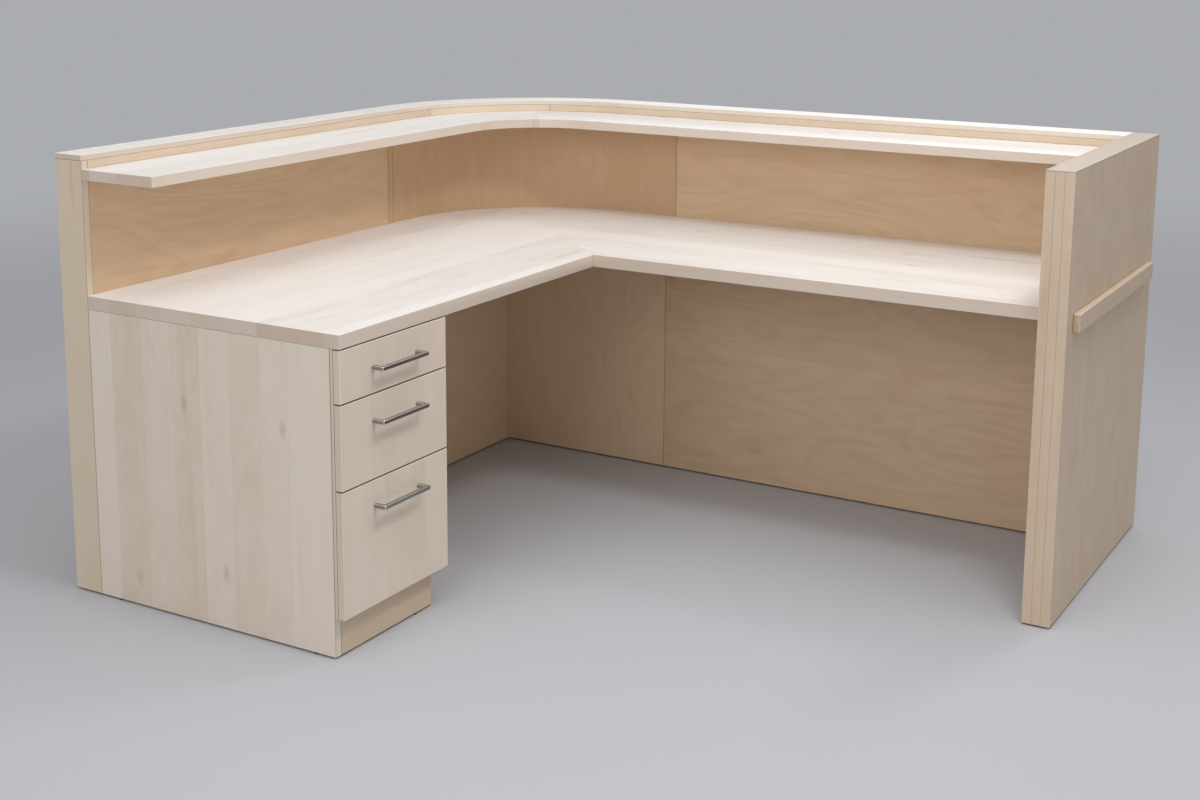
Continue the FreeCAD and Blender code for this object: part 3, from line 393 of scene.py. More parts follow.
def finish(name):
    """The desk's finish of this name, made the first time that it is asked for."""
    if name in bpy.data.materials:
        return bpy.data.materials[name]
    look = bpy.context.scene.desk_look
    heart = list(look.heart)
    side = list(look.side)
    post = list(look.post)
    if name == "white_oiled_maple":
        # Hard maple oiled with white pigment: near white, faint rings, tan streaks and edges, satin
        return wood(name, list(look.top), heart, (0.5, 9, 9), 6, (0.07, 0.12, 0.55, 0.45, 0.06),
                    mottle=(3.5, 11, 11), stave=look.stave, streak=0.3, knots=3.5, rim=post,
                    rim_share=0.62, contrast=0.28, roughness=0.42)
    if name == "edge_glued_maple":
        # Maple staves glued edge to edge: each its own tone, quiet figure, few pin knots, satin
        return wood(name, side, heart, (0.5, 8, 8), 6, (0.05, 0.12, 0.4, 0.5, 0.1),
                    mottle=(9, 16, 16), stave=look.stave, streak=0.1, knots=5, contrast=0.32)
    if name == "quarter_cut_maple":
        # Sliced maple veneer with upright grain on fronts: even, quiet, browner edges, satin
        return wood(name, side, heart, (0.35, 16, 16), 5, (0.04, 0.06, 0.36, 0.1, 0.2),
                    mottle=(3, 9, 9), stave=0.16, streak=0.1, rim=heart, rim_share=0.22,
                    roughness=0.48)
    if name == "tan_maple":
        # Tan maple with straight grain on narrow boards: fine clouds, brown streaks, satin
        return wood(name, post, heart, (0.3, 18, 18), 6, (0.05, 0.1, 0.42, 0.14, 0.2),
                    mottle=(4, 13, 13), stave=0.07, streak=0.35, contrast=0.38)
    if name == "dull_maple":
        # Thin maple lipping left unoiled: greyer than its panel, straight fine grain, nearly matt
        return wood(name, list(look.lipping), heart, (0.3, 18, 18), 6, (0.08, 0.16, 0.4, 0.1, 0.2),
                    mottle=(4, 13, 13), stave=0.07, streak=0.3, roughness=0.6)
    if name == "faced_tan_maple":
        # Tan maple on the end panel's outer layers and the rails: soft clouds, few lines, satin
        return wood(name, post, heart, (0.6, 9, 9), 8, (0.03, 0.1, 0.46, 0.03, 0.2),
                    mottle=(7, 12, 12), stave=0.25, streak=0.16, knots=2.2, contrast=0.4)
    if name == "rotary_maple_veneer":
        # Veneer peeled from the log: wandering rings and mottled clouds in tan, satin
        return wood(name, list(look.veneer), heart, (1.3, 5, 5), 13, (0.09, 0.2, 0.31, 0.08, 0.3),
                    mottle=(7, 24, 24), stave=0.6, streak=0.16, knots=1.6, rim=heart,
                    rim_share=0.6, contrast=0.45, plies=0.0014)
    if name == "birch_plywood":
        # Birch plywood for drawers: pale, low figure, striped edges, sealed
        return wood(name, list(look.birch), heart, (1.2, 5, 5), 10, (0.15, 0.3, 0.3, 0.1, 0.3),
                    mottle=(8, 15, 15), stave=0.5, rim=heart, rim_share=0.6, roughness=0.45,
                    plies=look.ply)
    if name == "planed_softwood":
        # Planed spruce framing: yellow, strong straight rings, brown knots, dull
        return wood(name, list(look.pine), heart, (0.4, 22, 22), 6, (0.55, 0.35, 0.1, 0.1, 0.25),
                    stave=0.5, streak=0.3, knots=5, contrast=0.5, roughness=0.62, relief=0.2)
    if name == "brushed_steel":
        # Stainless bar brushed along its length: grey, soft long highlights
        return metal(name, list(look.steel), 0.22, (900, 14, 900), 0.08)
    if name == "zinc_plating":
        # Bright zinc on rolled sheet: pale blue grey, faint rolling lines
        return metal(name, list(look.zinc), 0.38, (18, 400, 400), 0.06)
    if name == "moulded_nylon":
        # Moulded nylon: near black, fine even grit, dull
        material, tree, surface = new_surface(name, 0.55)
        place = add(tree, "ShaderNodeTexCoord")
        grit = add(tree, "ShaderNodeTexNoise", {},
                   {"Vector": place.outputs["Object"], "Scale": 900, "Detail": 2})
        ramp = add(tree, "ShaderNodeValToRGB", {}, {"Fac": grit.outputs["Fac"]})
        ramp.color_ramp.elements[0].color = mixed(list(look.nylon), (0, 0, 0), 0.3)
        ramp.color_ramp.elements[1].color = mixed(list(look.nylon), (1, 1, 1), 0.06)
        tree.links.new(ramp.outputs["Color"], surface.inputs["Base Color"])
        bump = add(tree, "ShaderNodeBump", {},
                   {"Strength": 0.2, "Distance": 0.0002, "Height": grit.outputs["Fac"]})
        tree.links.new(bump.outputs["Normal"], surface.inputs["Normal"])
        return material
    raise RuntimeError(f"there is no finish named {name}")


# Worked boards

# Triangles that turn less than FLAT are one flat face, edges that turn more than EASED get an arris,
# and those that turn more than CREASED stay sharp in the shading
FLAT = math.radians(0.4)
EASED = math.radians(25)
CREASED = math.radians(16)

# Edges shorter than this are the facets of screw holes, which stay as drilled
FACET = 0.003

# An arris meets another board where that is within this many of its own widths
REACH = 1.1

# How much of a normal lies along the thickness of a narrow or a broad face, or along the grain of an
# end, and less than how much along any axis where a face is slanted
NARROW = 0.3
BROAD = 0.7
ACROSS = 0.8
SLANTED = 0.97

# Sides of the quarter turn, and how far a swept board may be from its solid
FACETS = 90
TOLERANCE = 0.0005

# How dark the painted shade on a swept board's arrises is where they meet another board
SWEPT_SHADE = 0.15

# Grain that runs between X and Y has this much of each
DIAGONAL = 0.7071


def other_surfaces():
    """A search tree of every CAD node's surface, to find where boards meet."""
    return {name: BVHTree.FromPolygons([vert.co for vert in node.data.vertices],
                                       [polygon.vertices for polygon in node.data.polygons])
            for name, node in frame["nodes"].items()}


SURFACES = other_surfaces()


def meets_another(point, node, reach):
    """Whether another node's surface is within reach of a point."""
    return any(tree.find_nearest(point, reach)[0] is not None
               for name, tree in SURFACES.items() if name != node)


def solids_of(node):
    """A CAD node's solids, one after another, with loose triangles merged and flat faces whole."""
    mesh = frame["nodes"][node].data
    form = bmesh.new()
    corners = {}
    open_edges = set()
    for polygon in mesh.polygons:
        points = [tuple(round(value, 6) for value in mesh.vertices[i].co) for i in polygon.vertices]
        for point in points:
            if point not in corners:
                corners[point] = form.verts.new(point)
        if len(set(points)) == 3:
            form.faces.new([corners[point] for point in points])
        for start, end in zip(points, points[1:] + points[:1]):
            if (end, start) in open_edges:
                open_edges.remove((end, start))
            elif start != end:
                open_edges.add((start, end))
        # Once every edge has met its other face, the solid is whole and the next one starts
        if not open_edges:
            corners = {}
    if open_edges:
        form.free()
        raise RuntimeError(f"a solid of {node} isn't closed")
    bmesh.ops.dissolve_limit(form, angle_limit=FLAT, verts=form.verts, edges=form.edges)
    return form


def box_of(faces):
    """The lowest and the highest corner of some faces, in one row."""
    corners = [vert.co for face in faces for vert in face.verts]
    sides = [[round(corner[axis], 5) for corner in corners] for axis in range(3)]
    return [min(side) for side in sides] + [max(side) for side in sides]


def separate_boards(form):
    """Each connected group of faces, in an order that is the same in each run."""
    left = set(form.faces)
    boards = []
    while left:
        group = set()
        waiting = [left.pop()]
        while waiting:
            face = waiting.pop()
            group.add(face)
            for edge in face.edges:
                for other in edge.link_faces:
                    if other in left:
                        left.remove(other)
                        waiting.append(other)
        boards.append(group)
    return sorted(boards, key=box_of)


def wall_run(point):
    """How far a point is along the wall's inner face and how deep in the wall, round the corner too."""
    left = TURN.x - point.x
    back = point.y - TURN.y
    if back <= 0:
        return back, left
    if left <= 0:
        return INNER_RADIUS * math.pi / 2 - left, back
    return INNER_RADIUS * math.atan2(back, left), math.hypot(left, back)


def grain_place(point, lay, sides):
    """A point's place along, across and through its board."""
    if lay == "round":
        run, depth = wall_run(point)
        return Vector((run, depth, point.z))
    if lay == "upright round":
        run, depth = wall_run(point)
        return Vector((point.z, run, depth))
    if lay == "diagonal":
        return Vector(((point.x + point.y) * DIAGONAL, (point.y - point.x) * DIAGONAL, point.z))
    return Vector([point[side] for side in sides])


def grain_sides(verts, lay):
    """The three axes of a straight board, from along its grain to through its thickness."""
    spans = [max(v.co[axis] for v in verts) - min(v.co[axis] for v in verts) for axis in range(3)]
    order = sorted(range(3), key=lambda axis: -spans[axis])
    if lay in ("X", "Y", "Z"):
        along = "XYZ".index(lay)
        order.remove(along)
        order.insert(0, along)
    return order


def add_layers(form):
    """Gives a form what the finishes read, before any of its faces is held on to."""
    form.verts.layers.float_vector.new("grain")
    for name in ("board", "edge", "end", "arris", "painted_shade"):
        form.faces.layers.float.new(name)


def lay_grain(form, node, lay, tone):
    """Marks each board's grain, tone, narrow faces and end grain."""
    place = form.verts.layers.float_vector["grain"]
    board = form.faces.layers.float["board"]
    edge = form.faces.layers.float["edge"]
    end = form.faces.layers.float["end"]
    for number, faces in enumerate(separate_boards(form)):
        chance = random.Random(f"{node} {number}")
        verts = {vert for face in faces for vert in face.verts}
        sides = grain_sides(verts, lay)
        start = Vector([chance.uniform(0, 30) for axis in range(3)])
        for vert in verts:
            vert[place] = grain_place(vert.co, lay, sides) + start
        shade = chance.random() if tone is None else tone
        for face in faces:
            face[board] = shade
            if lay in ("round", "diagonal"):
                face[edge] = 1.0 if abs(face.normal.z) < NARROW else 0.0
            elif lay == "upright round":
                face[edge] = 1.0 if abs(face.normal.z) > BROAD else 0.0
            else:
                face[edge] = 1.0 if abs(face.normal[sides[2]]) < NARROW else 0.0
                face[end] = 1.0 if abs(face.normal[sides[0]]) > ACROSS else 0.0
            face.smooth = True


def mark_arrises(form, node, faces, reach, shade):
    """Marks eased arrises for a painted highlight, and for painted shade those that meet another board
    or lie close to the floor.

    shade is how dark the painted shade where an arris meets another board is; at 0 the arrises there
    stay arrises.
    """
    arris = form.faces.layers.float["arris"]
    painted_shade = form.faces.layers.float["painted_shade"]
    for face in faces:
        middle = face.calc_center_median()
        # Painted shade near the floor and at other boards, and a painted highlight on the other arrises
        if middle.z < FLOOR_SHADE:
            face[painted_shade] = 1.0
        elif shade and meets_another(middle, node, reach):
            face[painted_shade] = shade
        else:
            face[arris] = 1.0


def into_scene(form, node, material, name):
    """Makes a finished form into the piece that stands for a CAD node, on the same body."""
    mesh = bpy.data.meshes.new(name)
    form.to_mesh(mesh)
    form.free()
    mesh.set_sharp_from_angle(angle=CREASED)
    mesh.materials.append(finish(material))
    return stand_for(bpy.data.objects.new(name, mesh), node)


def worked(node, lay, material, arris=None, tone=None, painted_shade=0.6, gap=0.0):
    """Replaces a CAD node by its own boards with eased arrises and with the grain laid along them.

    tone is how dark the boards are, from 0 to 1 or beyond; without it each board has its own by
    chance. painted_shade is how dark the shade painted in the joints with other boards is, and on
    narrow faces nearer than gap to another board.
    """
    form = solids_of(node)
    add_layers(form)
    width = bpy.context.scene.desk_look.arris if arris is None else arris
    if width:
        sharp = [edge for edge in form.edges
                 if edge.calc_face_angle(0) > EASED and edge.calc_length() > FACET]
        made = bmesh.ops.bevel(form, geom=sharp, offset=width, offset_type="OFFSET", segments=2,
                               profile=0.5, affect="EDGES", clamp_overlap=True)["faces"]
        form.normal_update()
    else:
        # Without an arris of its own, the piece's slanted faces are its roundings and chamfers
        form.normal_update()
        made = [face for face in form.faces if max(abs(part) for part in face.normal) < SLANTED]
    mark_arrises(form, node, made, width * REACH, painted_shade)
    lay_grain(form, node, lay, tone)
    # Narrow faces close to another board get painted shade, for the shade in the gap between them
    if gap:
        shade = form.faces.layers.float["painted_shade"]
        eased = form.faces.layers.float["arris"]
        edge = form.faces.layers.float["edge"]
        for face in form.faces:
            if face[edge] and not face[eased] and meets_another(face.calc_center_median(), node, gap):
                face[shade] = painted_shade
    return into_scene(form, node, material, f"{node}_worked")


def stand_for(piece, node):
    """Puts a finished piece in the scene in the place of a CAD node, on the same body."""
    bpy.context.scene.collection.objects.link(piece)
    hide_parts(node)
    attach(piece, frame["nodes"][node]["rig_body"])
    return piece


def sweep_tree():
    """Geometry nodes that sweep a board's cross section with eased arrises round a corner in plan."""
    if "board round a corner" in bpy.data.node_groups:
        return bpy.data.node_groups["board round a corner"]
    tree = bpy.data.node_groups.new("board round a corner", "GeometryNodeTree")
    tree.interface.new_socket("Geometry", in_out="OUTPUT", socket_type="NodeSocketGeometry")
    for name, kind in (("Start", "Vector"), ("Corner", "Vector"), ("End", "Vector"),
                       ("Turn radius", "Float"), ("Thickness", "Float"), ("Height", "Float"),
                       ("Arris", "Float"), ("Facets", "Int"), ("Finish", "Material")):
        tree.interface.new_socket(name, in_out="INPUT", socket_type=f"NodeSocket{kind}")
    given = tree.nodes.new("NodeGroupInput").outputs
    line = add(tree, "GeometryNodeMeshLine", {"mode": "END_POINTS"},
               {"Count": 3, "Start Location": given["Start"], "Offset": given["End"]})
    index = add(tree, "GeometryNodeInputIndex")
    middle = add(tree, "FunctionNodeCompare", {"data_type": "INT", "operation": "EQUAL"},
                 {"A_INT": index.outputs["Index"], "B_INT": 1})
    bent = add(tree, "GeometryNodeSetPosition", {},
               {"Geometry": line.outputs["Mesh"], "Selection": middle.outputs["Result"],
                "Position": given["Corner"]})
    path = add(tree, "GeometryNodeMeshToCurve", {}, {"Mesh": bent.outputs["Geometry"]})
    turned = add(tree, "GeometryNodeFilletCurve", {"mode": "POLY"},
                 {"Curve": path.outputs["Curve"], "Radius": given["Turn radius"],
                  "Count": given["Facets"], "Limit Radius": True})
    level = add(tree, "GeometryNodeSetCurveNormal", {"mode": "Z_UP"},
                {"Curve": turned.outputs["Curve"]})
    section = add(tree, "GeometryNodeCurvePrimitiveQuadrilateral", {"mode": "RECTANGLE"},
                  {"Width": given["Thickness"], "Height": given["Height"]})
    eased = add(tree, "GeometryNodeFilletCurve", {"mode": "POLY"},
                {"Curve": section.outputs["Curve"], "Radius": given["Arris"], "Count": 2})
    swept = add(tree, "GeometryNodeCurveToMesh", {},
                {"Curve": level.outputs["Curve"], "Profile Curve": eased.outputs["Curve"],
                 "Fill Caps": True})
    real = add(tree, "GeometryNodeRealizeInstances", {}, {"Geometry": swept.outputs["Mesh"]})
    painted = add(tree, "GeometryNodeSetMaterial", {},
                  {"Geometry": real.outputs["Geometry"], "Material": given["Finish"]})
    result = tree.nodes.new("NodeGroupOutput")
    tree.links.new(painted.outputs["Geometry"], result.inputs["Geometry"])
    return tree


def made_by(tree, name, inputs):
    """The plain mesh that a geometry tree gives for these inputs."""
    holder = bpy.data.objects.new(f"{name}_holder", bpy.data.meshes.new(f"{name}_holder"))
    bpy.context.scene.collection.objects.link(holder)
    modifier = holder.modifiers.new(tree.name, "NODES")
    modifier.node_group = tree
    for item in tree.interface.items_tree:
        if item.in_out == "INPUT" and item.name in inputs:
            modifier[item.identifier] = inputs[item.name]
    ready = holder.evaluated_get(bpy.context.evaluated_depsgraph_get())
    mesh = bpy.data.meshes.new_from_object(ready)
    holder.modifiers.remove(modifier)
    bpy.data.objects.remove(holder)
    if not mesh.polygons:
        raise RuntimeError(f"{name} has no faces")
    return mesh


def swept(node, inner_radius, thickness, lay, material, tone, before=0.0, beyond=0.0, painted_shade=0.0):
    """Replaces a CAD node that follows the wall's round corner by a board swept round it.

    before and beyond are how far it runs straight before the curve starts and after it ends.
    painted_shade is how dark the shade painted on a line as wide as an arris at both ends is, where the
    board meets the next one.
    """
    low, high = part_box(node)
    middle = inner_radius + thickness / 2
    height = (low.z + high.z) / 2
    width = bpy.context.scene.desk_look.arris
    inputs = {
        "Start": (TURN.x - middle, TURN.y - before, height),
        "Corner": (TURN.x - middle, TURN.y + middle, height),
        "End": (TURN.x + beyond, TURN.y + middle, height),
        "Turn radius": middle,
        "Thickness": thickness,
        "Height": high.z - low.z,
        "Arris": width,
        "Facets": FACETS,
        "Finish": finish(material),
    }
    form = bmesh.new()
    form.from_mesh(made_by(sweep_tree(), node, inputs))
    add_layers(form)
    bmesh.ops.recalc_face_normals(form, faces=form.faces)
    slanted = [face for face in form.faces if 0.2 < abs(face.normal.z) < 0.98]
    mark_arrises(form, node, slanted, width * REACH, SWEPT_SHADE)
    # Painted shade on a line as wide as an arris at each end, where the board meets the next one
    if painted_shade:
        shade = form.faces.layers.float["painted_shade"]
        for end, inwards in (("Start", Vector((0, 1, 0))), ("End", Vector((-1, 0, 0)))):
            line = Vector(inputs[end]) + inwards * width
            bmesh.ops.bisect_plane(form, geom=form.verts[:] + form.edges[:] + form.faces[:],
                                   plane_co=line, plane_no=inwards)
            for face in form.faces:
                if (face.calc_center_median() - line).dot(inwards) < 0:
                    face[shade] = painted_shade
    lay_grain(form, node, lay, tone)
    corners = [vert.co for vert in form.verts]
    for axis in range(3):
        span = (min(co[axis] for co in corners), max(co[axis] for co in corners))
        if abs(span[0] - low[axis]) > TOLERANCE or abs(span[1] - high[axis]) > TOLERANCE:
            raise RuntimeError(f"{node} swept from {span} isn't where its solid is, {low} to {high}")
    return into_scene(form, node, material, f"{node}_swept")


class DESK_OT_walls(bpy.types.Operator):
    """Works the tall wall: outer and inner skins, end board, joint strip and the frame inside"""

    bl_idname = "desk.walls"
    bl_label = "Walls"

    def execute(self, context):
        worked("left_wall_end_board", "Z", "tan_maple", tone=0.1)
        worked("inner_joint_strip", "Z", "rotary_maple_veneer", tone=2.0, painted_shade=1.0)
        worked("left_wall_inner_skin", "Y", "rotary_maple_veneer", arris=0.0006, tone=1.3, painted_shade=0.3)
        low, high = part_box("corner_inner_skin")
        skin = TURN.x - INNER_RADIUS - low.x
        swept("corner_inner_skin", INNER_RADIUS, skin, "upright round", "rotary_maple_veneer", 2.1,
              before=TURN.y - low.y, beyond=high.x - TURN.x, painted_shade=0.8)
        worked("right_wall_inner_skin", "X", "rotary_maple_veneer", tone=1.3, painted_shade=1.0)
        worked("left_wall_outer_skin", "Y", "rotary_maple_veneer")
        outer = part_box("left_wall_outer_skin")
        swept("corner_outer_skin", TURN.x - outer[1].x, outer[1].x - outer[0].x, "upright round",
              "rotary_maple_veneer", 0.6)
        worked("right_wall_outer_skin", "X", "rotary_maple_veneer")
        for node in ("left_wall_frame", "corner_wall_frame", "right_wall_frame"):
            worked(node, "long", "planed_softwood")
        return {"FINISHED"}


class DESK_OT_tops(bpy.types.Operator):
    """Works everything that lies flat on top: worktops, shelf, rails and caps"""

    bl_idname = "desk.tops"
    bl_label = "Tops"

    def execute(self, context):
        for side, lay in (("left", "Y"), ("right", "X")):
            worked(f"{side}_worktop", lay, "white_oiled_maple", arris=0.0006, painted_shade=0.06)
            worked(f"{side}_shelf", lay, "white_oiled_maple", arris=0.0006, painted_shade=0.3)
            worked(f"{side}_top_rail", lay, "faced_tan_maple", tone=1.0, painted_shade=0.5)
            worked(f"{side}_cap", lay, "white_oiled_maple", painted_shade=0.15)
        worked("corner_top_rail", "round", "faced_tan_maple", tone=0, painted_shade=0.5)
        wall = TURN.x - CAP_LOW.x - INNER_RADIUS
        swept("corner_cap", INNER_RADIUS, wall, "diagonal", "white_oiled_maple", 0.5)
        worked("worktop_cleats", "long", "planed_softwood")
        return {"FINISHED"}


class DESK_OT_lower_panels(bpy.types.Operator):
    """Works the panels under the worktop and the floor plates that hold them"""

    bl_idname = "desk.lower_panels"
    bl_label = "Lower panels"

    def execute(self, context):
        worked("left_modesty_panel", "Y", "rotary_maple_veneer", tone=0.3)
        worked("corner_modesty_panel", "Z", "rotary_maple_veneer", tone=0.4)
        worked("right_modesty_panel", "X", "rotary_maple_veneer", tone=1.0)
        worked("modesty_sole_plates", "long", "planed_softwood")
        return {"FINISHED"}


class DESK_OT_end_panel(bpy.types.Operator):
    """Works the thick panel that ends the right wing, with its lipping and its batten"""

    bl_idname = "desk.end_panel"
    bl_label = "End panel"

    def execute(self, context):
        worked("end_panel_inner_leaf", "Z", "faced_tan_maple", arris=0.0006, tone=1.5, painted_shade=0.25)
        worked("end_panel_core", "Z", "tan_maple", arris=0.0006, tone=1.5, painted_shade=0.25)
        worked("end_panel_outer_leaf", "Z", "faced_tan_maple", arris=0.0006, tone=1.5, painted_shade=0.25)
        worked("end_panel_top_lipping", "Y", "dull_maple", tone=0.7, painted_shade=0)
        worked("end_panel_batten", "Y", "tan_maple", arris=0.0015, tone=1.9)
        return {"FINISHED"}


class DESK_OT_pedestal(bpy.types.Operator):
    """Works the drawer pedestal: gable, cabinet boards, plinth and face frame"""

    bl_idname = "desk.pedestal"
    bl_label = "Pedestal"

    def execute(self, context):
        worked("pedestal_gable", "Z", "edge_glued_maple")
        # The face frame's narrow faces beside other boards get painted shade, for the shade in the gaps
        worked("face_frame", "long", "tan_maple", tone=1, painted_shade=1.0, gap=0.001)
        worked("plinth_boards", "long", "tan_maple", tone=1.7)
        worked("cabinet_sides", "Z", "rotary_maple_veneer")
        worked("cabinet_back", "Z", "rotary_maple_veneer")
        worked("cabinet_bottom", "X", "rotary_maple_veneer")
        worked("cabinet_stretchers", "Y", "rotary_maple_veneer")
        return {"FINISHED"}


DRAWERS = ("lower", "middle", "upper")


class DESK_OT_drawers(bpy.types.Operator):
    """Works the three drawers: fronts with upright grain, and plywood boxes with striped edges"""

    bl_idname = "desk.drawers"
    bl_label = "Drawers"

    def execute(self, context):
        for drawer in DRAWERS:
            # The fronts' narrow faces beside the next front get painted shade, for the shade in the
            # gaps
            worked(f"{drawer}_drawer_front", "Z", "quarter_cut_maple", arris=0, painted_shade=0.4, gap=0.0042)
            worked(f"{drawer}_drawer_box", "long", "birch_plywood", arris=0.0006)
            worked(f"{drawer}_drawer_bottom", "X", "birch_plywood", arris=0.0003)
        return {"FINISHED"}


class DESK_OT_metalwork(bpy.types.Operator):
    """Works the pulls, the ball-bearing runners and the plates under the worktop's mitre"""

    bl_idname = "desk.metalwork"
    bl_label = "Metalwork"

    def execute(self, context):
        for drawer in DRAWERS:
            worked(f"{drawer}_pull", "Y", "brushed_steel", arris=0)
            worked(f"{drawer}_runner_members", "X", "zinc_plating", arris=0.0003)
            worked(f"{drawer}_runner_middle_members", "X", "zinc_plating", arris=0.0003)
        worked("cabinet_runner_members", "X", "zinc_plating", arris=0.0003)
        worked("worktop_joint_plates", "long", "zinc_plating", arris=0.0004)
        return {"FINISHED"}


class DESK_OT_glides(bpy.types.Operator):
    """Gives the round floor glides their moulded nylon"""

    bl_idname = "desk.glides"
    bl_label = "Glides"

    def execute(self, context):
        frame["nodes"]["floor_glides"].material_slots[0].material = finish("moulded_nylon")
        return {"FINISHED"}


# Stage

# Where the photograph was taken from, a little above the wall and right of the gap, and which way
CAMERA_PLACE = (1.99859, -3.65451, 1.58922)
CAMERA_HEADING = math.radians(30.3974)
CAMERA_TILT = math.radians(79.4509)
CAMERA_ROLL = math.radians(0.3245)

# The lamps point at the desk's middle, at the height of the drawers
DESK_MIDDLE = (0.0, 0.0, 0.4)

# The floor's radius, and from where to where it goes over into the background
FLOOR_RADIUS = 14
FADE_START = 2.2
FADE_END = 7.0


def area_light(name, place, width, depth, power, aim=DESK_MIDDLE):
    """A soft box of this size and power in watts at a place, turned to a point."""
    lamp = bpy.data.lights.new(name, "AREA")
    lamp.shape = "RECTANGLE"
    lamp.size = width
    lamp.size_y = depth
    lamp.energy = power
    light = bpy.data.objects.new(name, lamp)
    light.location = place
    light.rotation_euler = (Vector(aim) - Vector(place)).to_track_quat("-Z", "Y").to_euler()
    bpy.context.scene.collection.objects.link(light)


def painted_floor(colour, backdrop):
    """Floor paint: dull and pale near the desk, and for the camera one with the background far off."""
    material, tree, surface = new_surface("painted_floor", 0.75)
    surface.inputs["Base Color"].default_value = colour
    place = add(tree, "ShaderNodeTexCoord")
    far = add(tree, "ShaderNodeVectorMath", {"operation": "LENGTH"}, {0: place.outputs["Object"]})
    fade = add(tree, "ShaderNodeMapRange", {"interpolation_type": "SMOOTHSTEP"},
               {"Value": far.outputs["Value"], "From Min": FADE_START, "From Max": FADE_END})
    path = add(tree, "ShaderNodeLightPath")
    seen = add(tree, "ShaderNodeMath", {"operation": "MULTIPLY"},
               {0: fade.outputs["Result"], 1: path.outputs["Is Camera Ray"]})
    plain = add(tree, "ShaderNodeEmission", {}, {"Color": backdrop, "Strength": 1.0})
    both = add(tree, "ShaderNodeMixShader", {},
               {0: seen.outputs["Value"], 1: surface.outputs["BSDF"], 2: plain.outputs["Emission"]})
    grit = add(tree, "ShaderNodeTexNoise", {}, {"Vector": place.outputs["Object"], "Scale": 60})
    bump = add(tree, "ShaderNodeBump", {}, {"Strength": 0.05, "Height": grit.outputs["Fac"]})
    tree.links.new(bump.outputs["Normal"], surface.inputs["Normal"])
    tree.links.new(both.outputs["Shader"], tree.nodes["Material Output"].inputs["Surface"])
    return material


def studio_world(backdrop):
    """Even light on the desk, while the camera and the steel see the plain background."""
    world = bpy.data.worlds.new("studio")
    world.use_nodes = True
    sky = world.node_tree
    soft = sky.nodes["Background"]
    soft.inputs["Color"].default_value = (0.97, 0.98, 1.0, 1.0)
    soft.inputs["Strength"].default_value = 0.4
    plain = add(sky, "ShaderNodeBackground", {}, {"Color": backdrop, "Strength": 1.0})
    path = add(sky, "ShaderNodeLightPath")
    shiny = add(sky, "ShaderNodeMath", {"operation": "MAXIMUM"},
                {0: path.outputs["Is Camera Ray"], 1: path.outputs["Is Glossy Ray"]})
    shown = add(sky, "ShaderNodeMath", {"operation": "MAXIMUM"},
                {0: shiny.outputs["Value"], 1: path.outputs["Is Transmission Ray"]})
    both = add(sky, "ShaderNodeMixShader", {},
               {0: shown.outputs["Value"], 1: soft.outputs["Background"],
                2: plain.outputs["Background"]})
    sky.links.new(both.outputs["Shader"], sky.nodes["World Output"].inputs["Surface"])
    return world


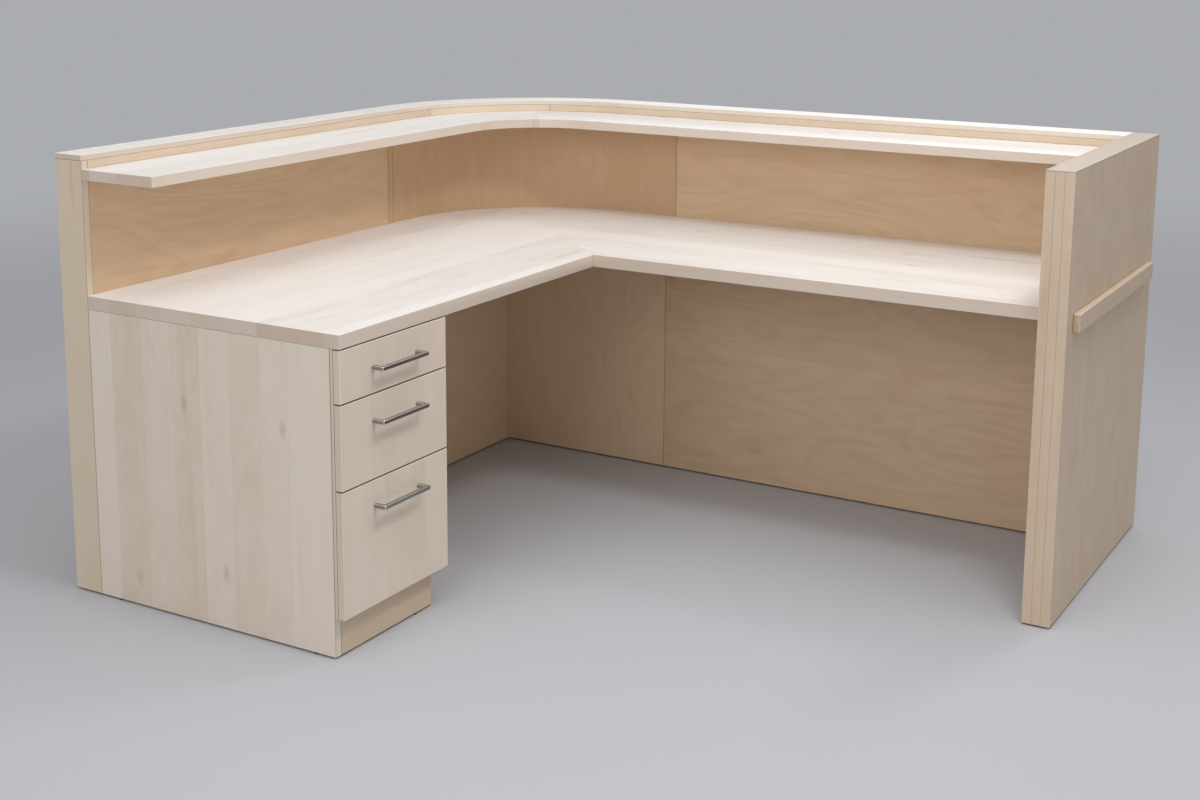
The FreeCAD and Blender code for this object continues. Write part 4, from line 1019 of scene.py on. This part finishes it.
class DESK_OT_stage(bpy.types.Operator):
    """Sets the pale floor, the soft light, the background and the camera"""

    bl_idname = "desk.stage"
    bl_label = "Stage"

    def execute(self, context):
        scene = context.scene
        backdrop = list(scene.desk_look.backdrop) + [1.0]

        form = bmesh.new()
        bmesh.ops.create_circle(form, cap_ends=True, segments=96, radius=FLOOR_RADIUS)
        mesh = bpy.data.meshes.new("floor")
        form.to_mesh(mesh)
        form.free()
        floor = bpy.data.objects.new("floor", mesh)
        scene.collection.objects.link(floor)
        mesh.materials.append(painted_floor(list(scene.desk_look.floor) + [1.0], backdrop))
        scene.world = studio_world(backdrop)

        area_light("overhead", (0.6, -0.4, 3.4), 4.2, 3.6, 50, aim=(0.1, 0.0, 0.0))
        area_light("key back", (1.5, 1.6, 3.3), 0.5, 0.5, 12)
        area_light("key right", (1.5, -0.8, 3.3), 0.5, 0.5, 21)
        area_light("front", (0.1, -4.3, 2.5), 3.0, 1.6, 44)
        area_light("right", (4.8, -1.0, 2.2), 2.0, 2.0, 6)
        area_light("behind", (-1.5, 4.6, 2.4), 3.0, 2.0, 16)

        camera = bpy.data.objects.new("camera", bpy.data.cameras.new("camera"))
        camera.data.sensor_width = 36
        camera.data.lens = 51.143
        camera.data.shift_x = 0.00815
        camera.data.shift_y = -0.13
        turned = Matrix.Rotation(CAMERA_HEADING, 4, "Z")
        tilted = Matrix.Rotation(CAMERA_TILT, 4, "X")
        rolled = Matrix.Rotation(CAMERA_ROLL, 4, "Z")
        camera.matrix_world = Matrix.Translation(CAMERA_PLACE) @ turned @ tilted @ rolled
        scene.collection.objects.link(camera)
        scene.camera = camera

        scene.view_settings.view_transform = "Standard"
        return {"FINISHED"}


class DESK_PT_desk(bpy.types.Panel):
    """Lists the desk's settings and the steps that make it"""

    bl_label = "Reception desk"
    bl_space_type = "VIEW_3D"
    bl_region_type = "UI"
    bl_category = "Desk"

    def draw(self, context):
        look = context.scene.desk_look
        for name in DeskLook.__annotations__:
            self.layout.prop(look, name)
        for step in STEPS:
            self.layout.operator(step.bl_idname)


STEPS = (DESK_OT_walls, DESK_OT_tops, DESK_OT_lower_panels, DESK_OT_end_panel, DESK_OT_pedestal,
         DESK_OT_drawers, DESK_OT_metalwork, DESK_OT_glides, DESK_OT_stage)
CLASSES = (DeskLook,) + STEPS + (DESK_PT_desk,)


def register():
    for each in CLASSES:
        bpy.utils.register_class(each)
    bpy.types.Scene.desk_look = PointerProperty(type=DeskLook)


def unregister():
    del bpy.types.Scene.desk_look
    for each in reversed(CLASSES):
        bpy.utils.unregister_class(each)


def main():
    register()
    bpy.ops.desk.walls()
    bpy.ops.desk.tops()
    bpy.ops.desk.lower_panels()
    bpy.ops.desk.end_panel()
    bpy.ops.desk.pedestal()
    bpy.ops.desk.drawers()
    bpy.ops.desk.metalwork()
    bpy.ops.desk.glides()
    bpy.ops.desk.stage()


if __name__ == "__main__":
    main()
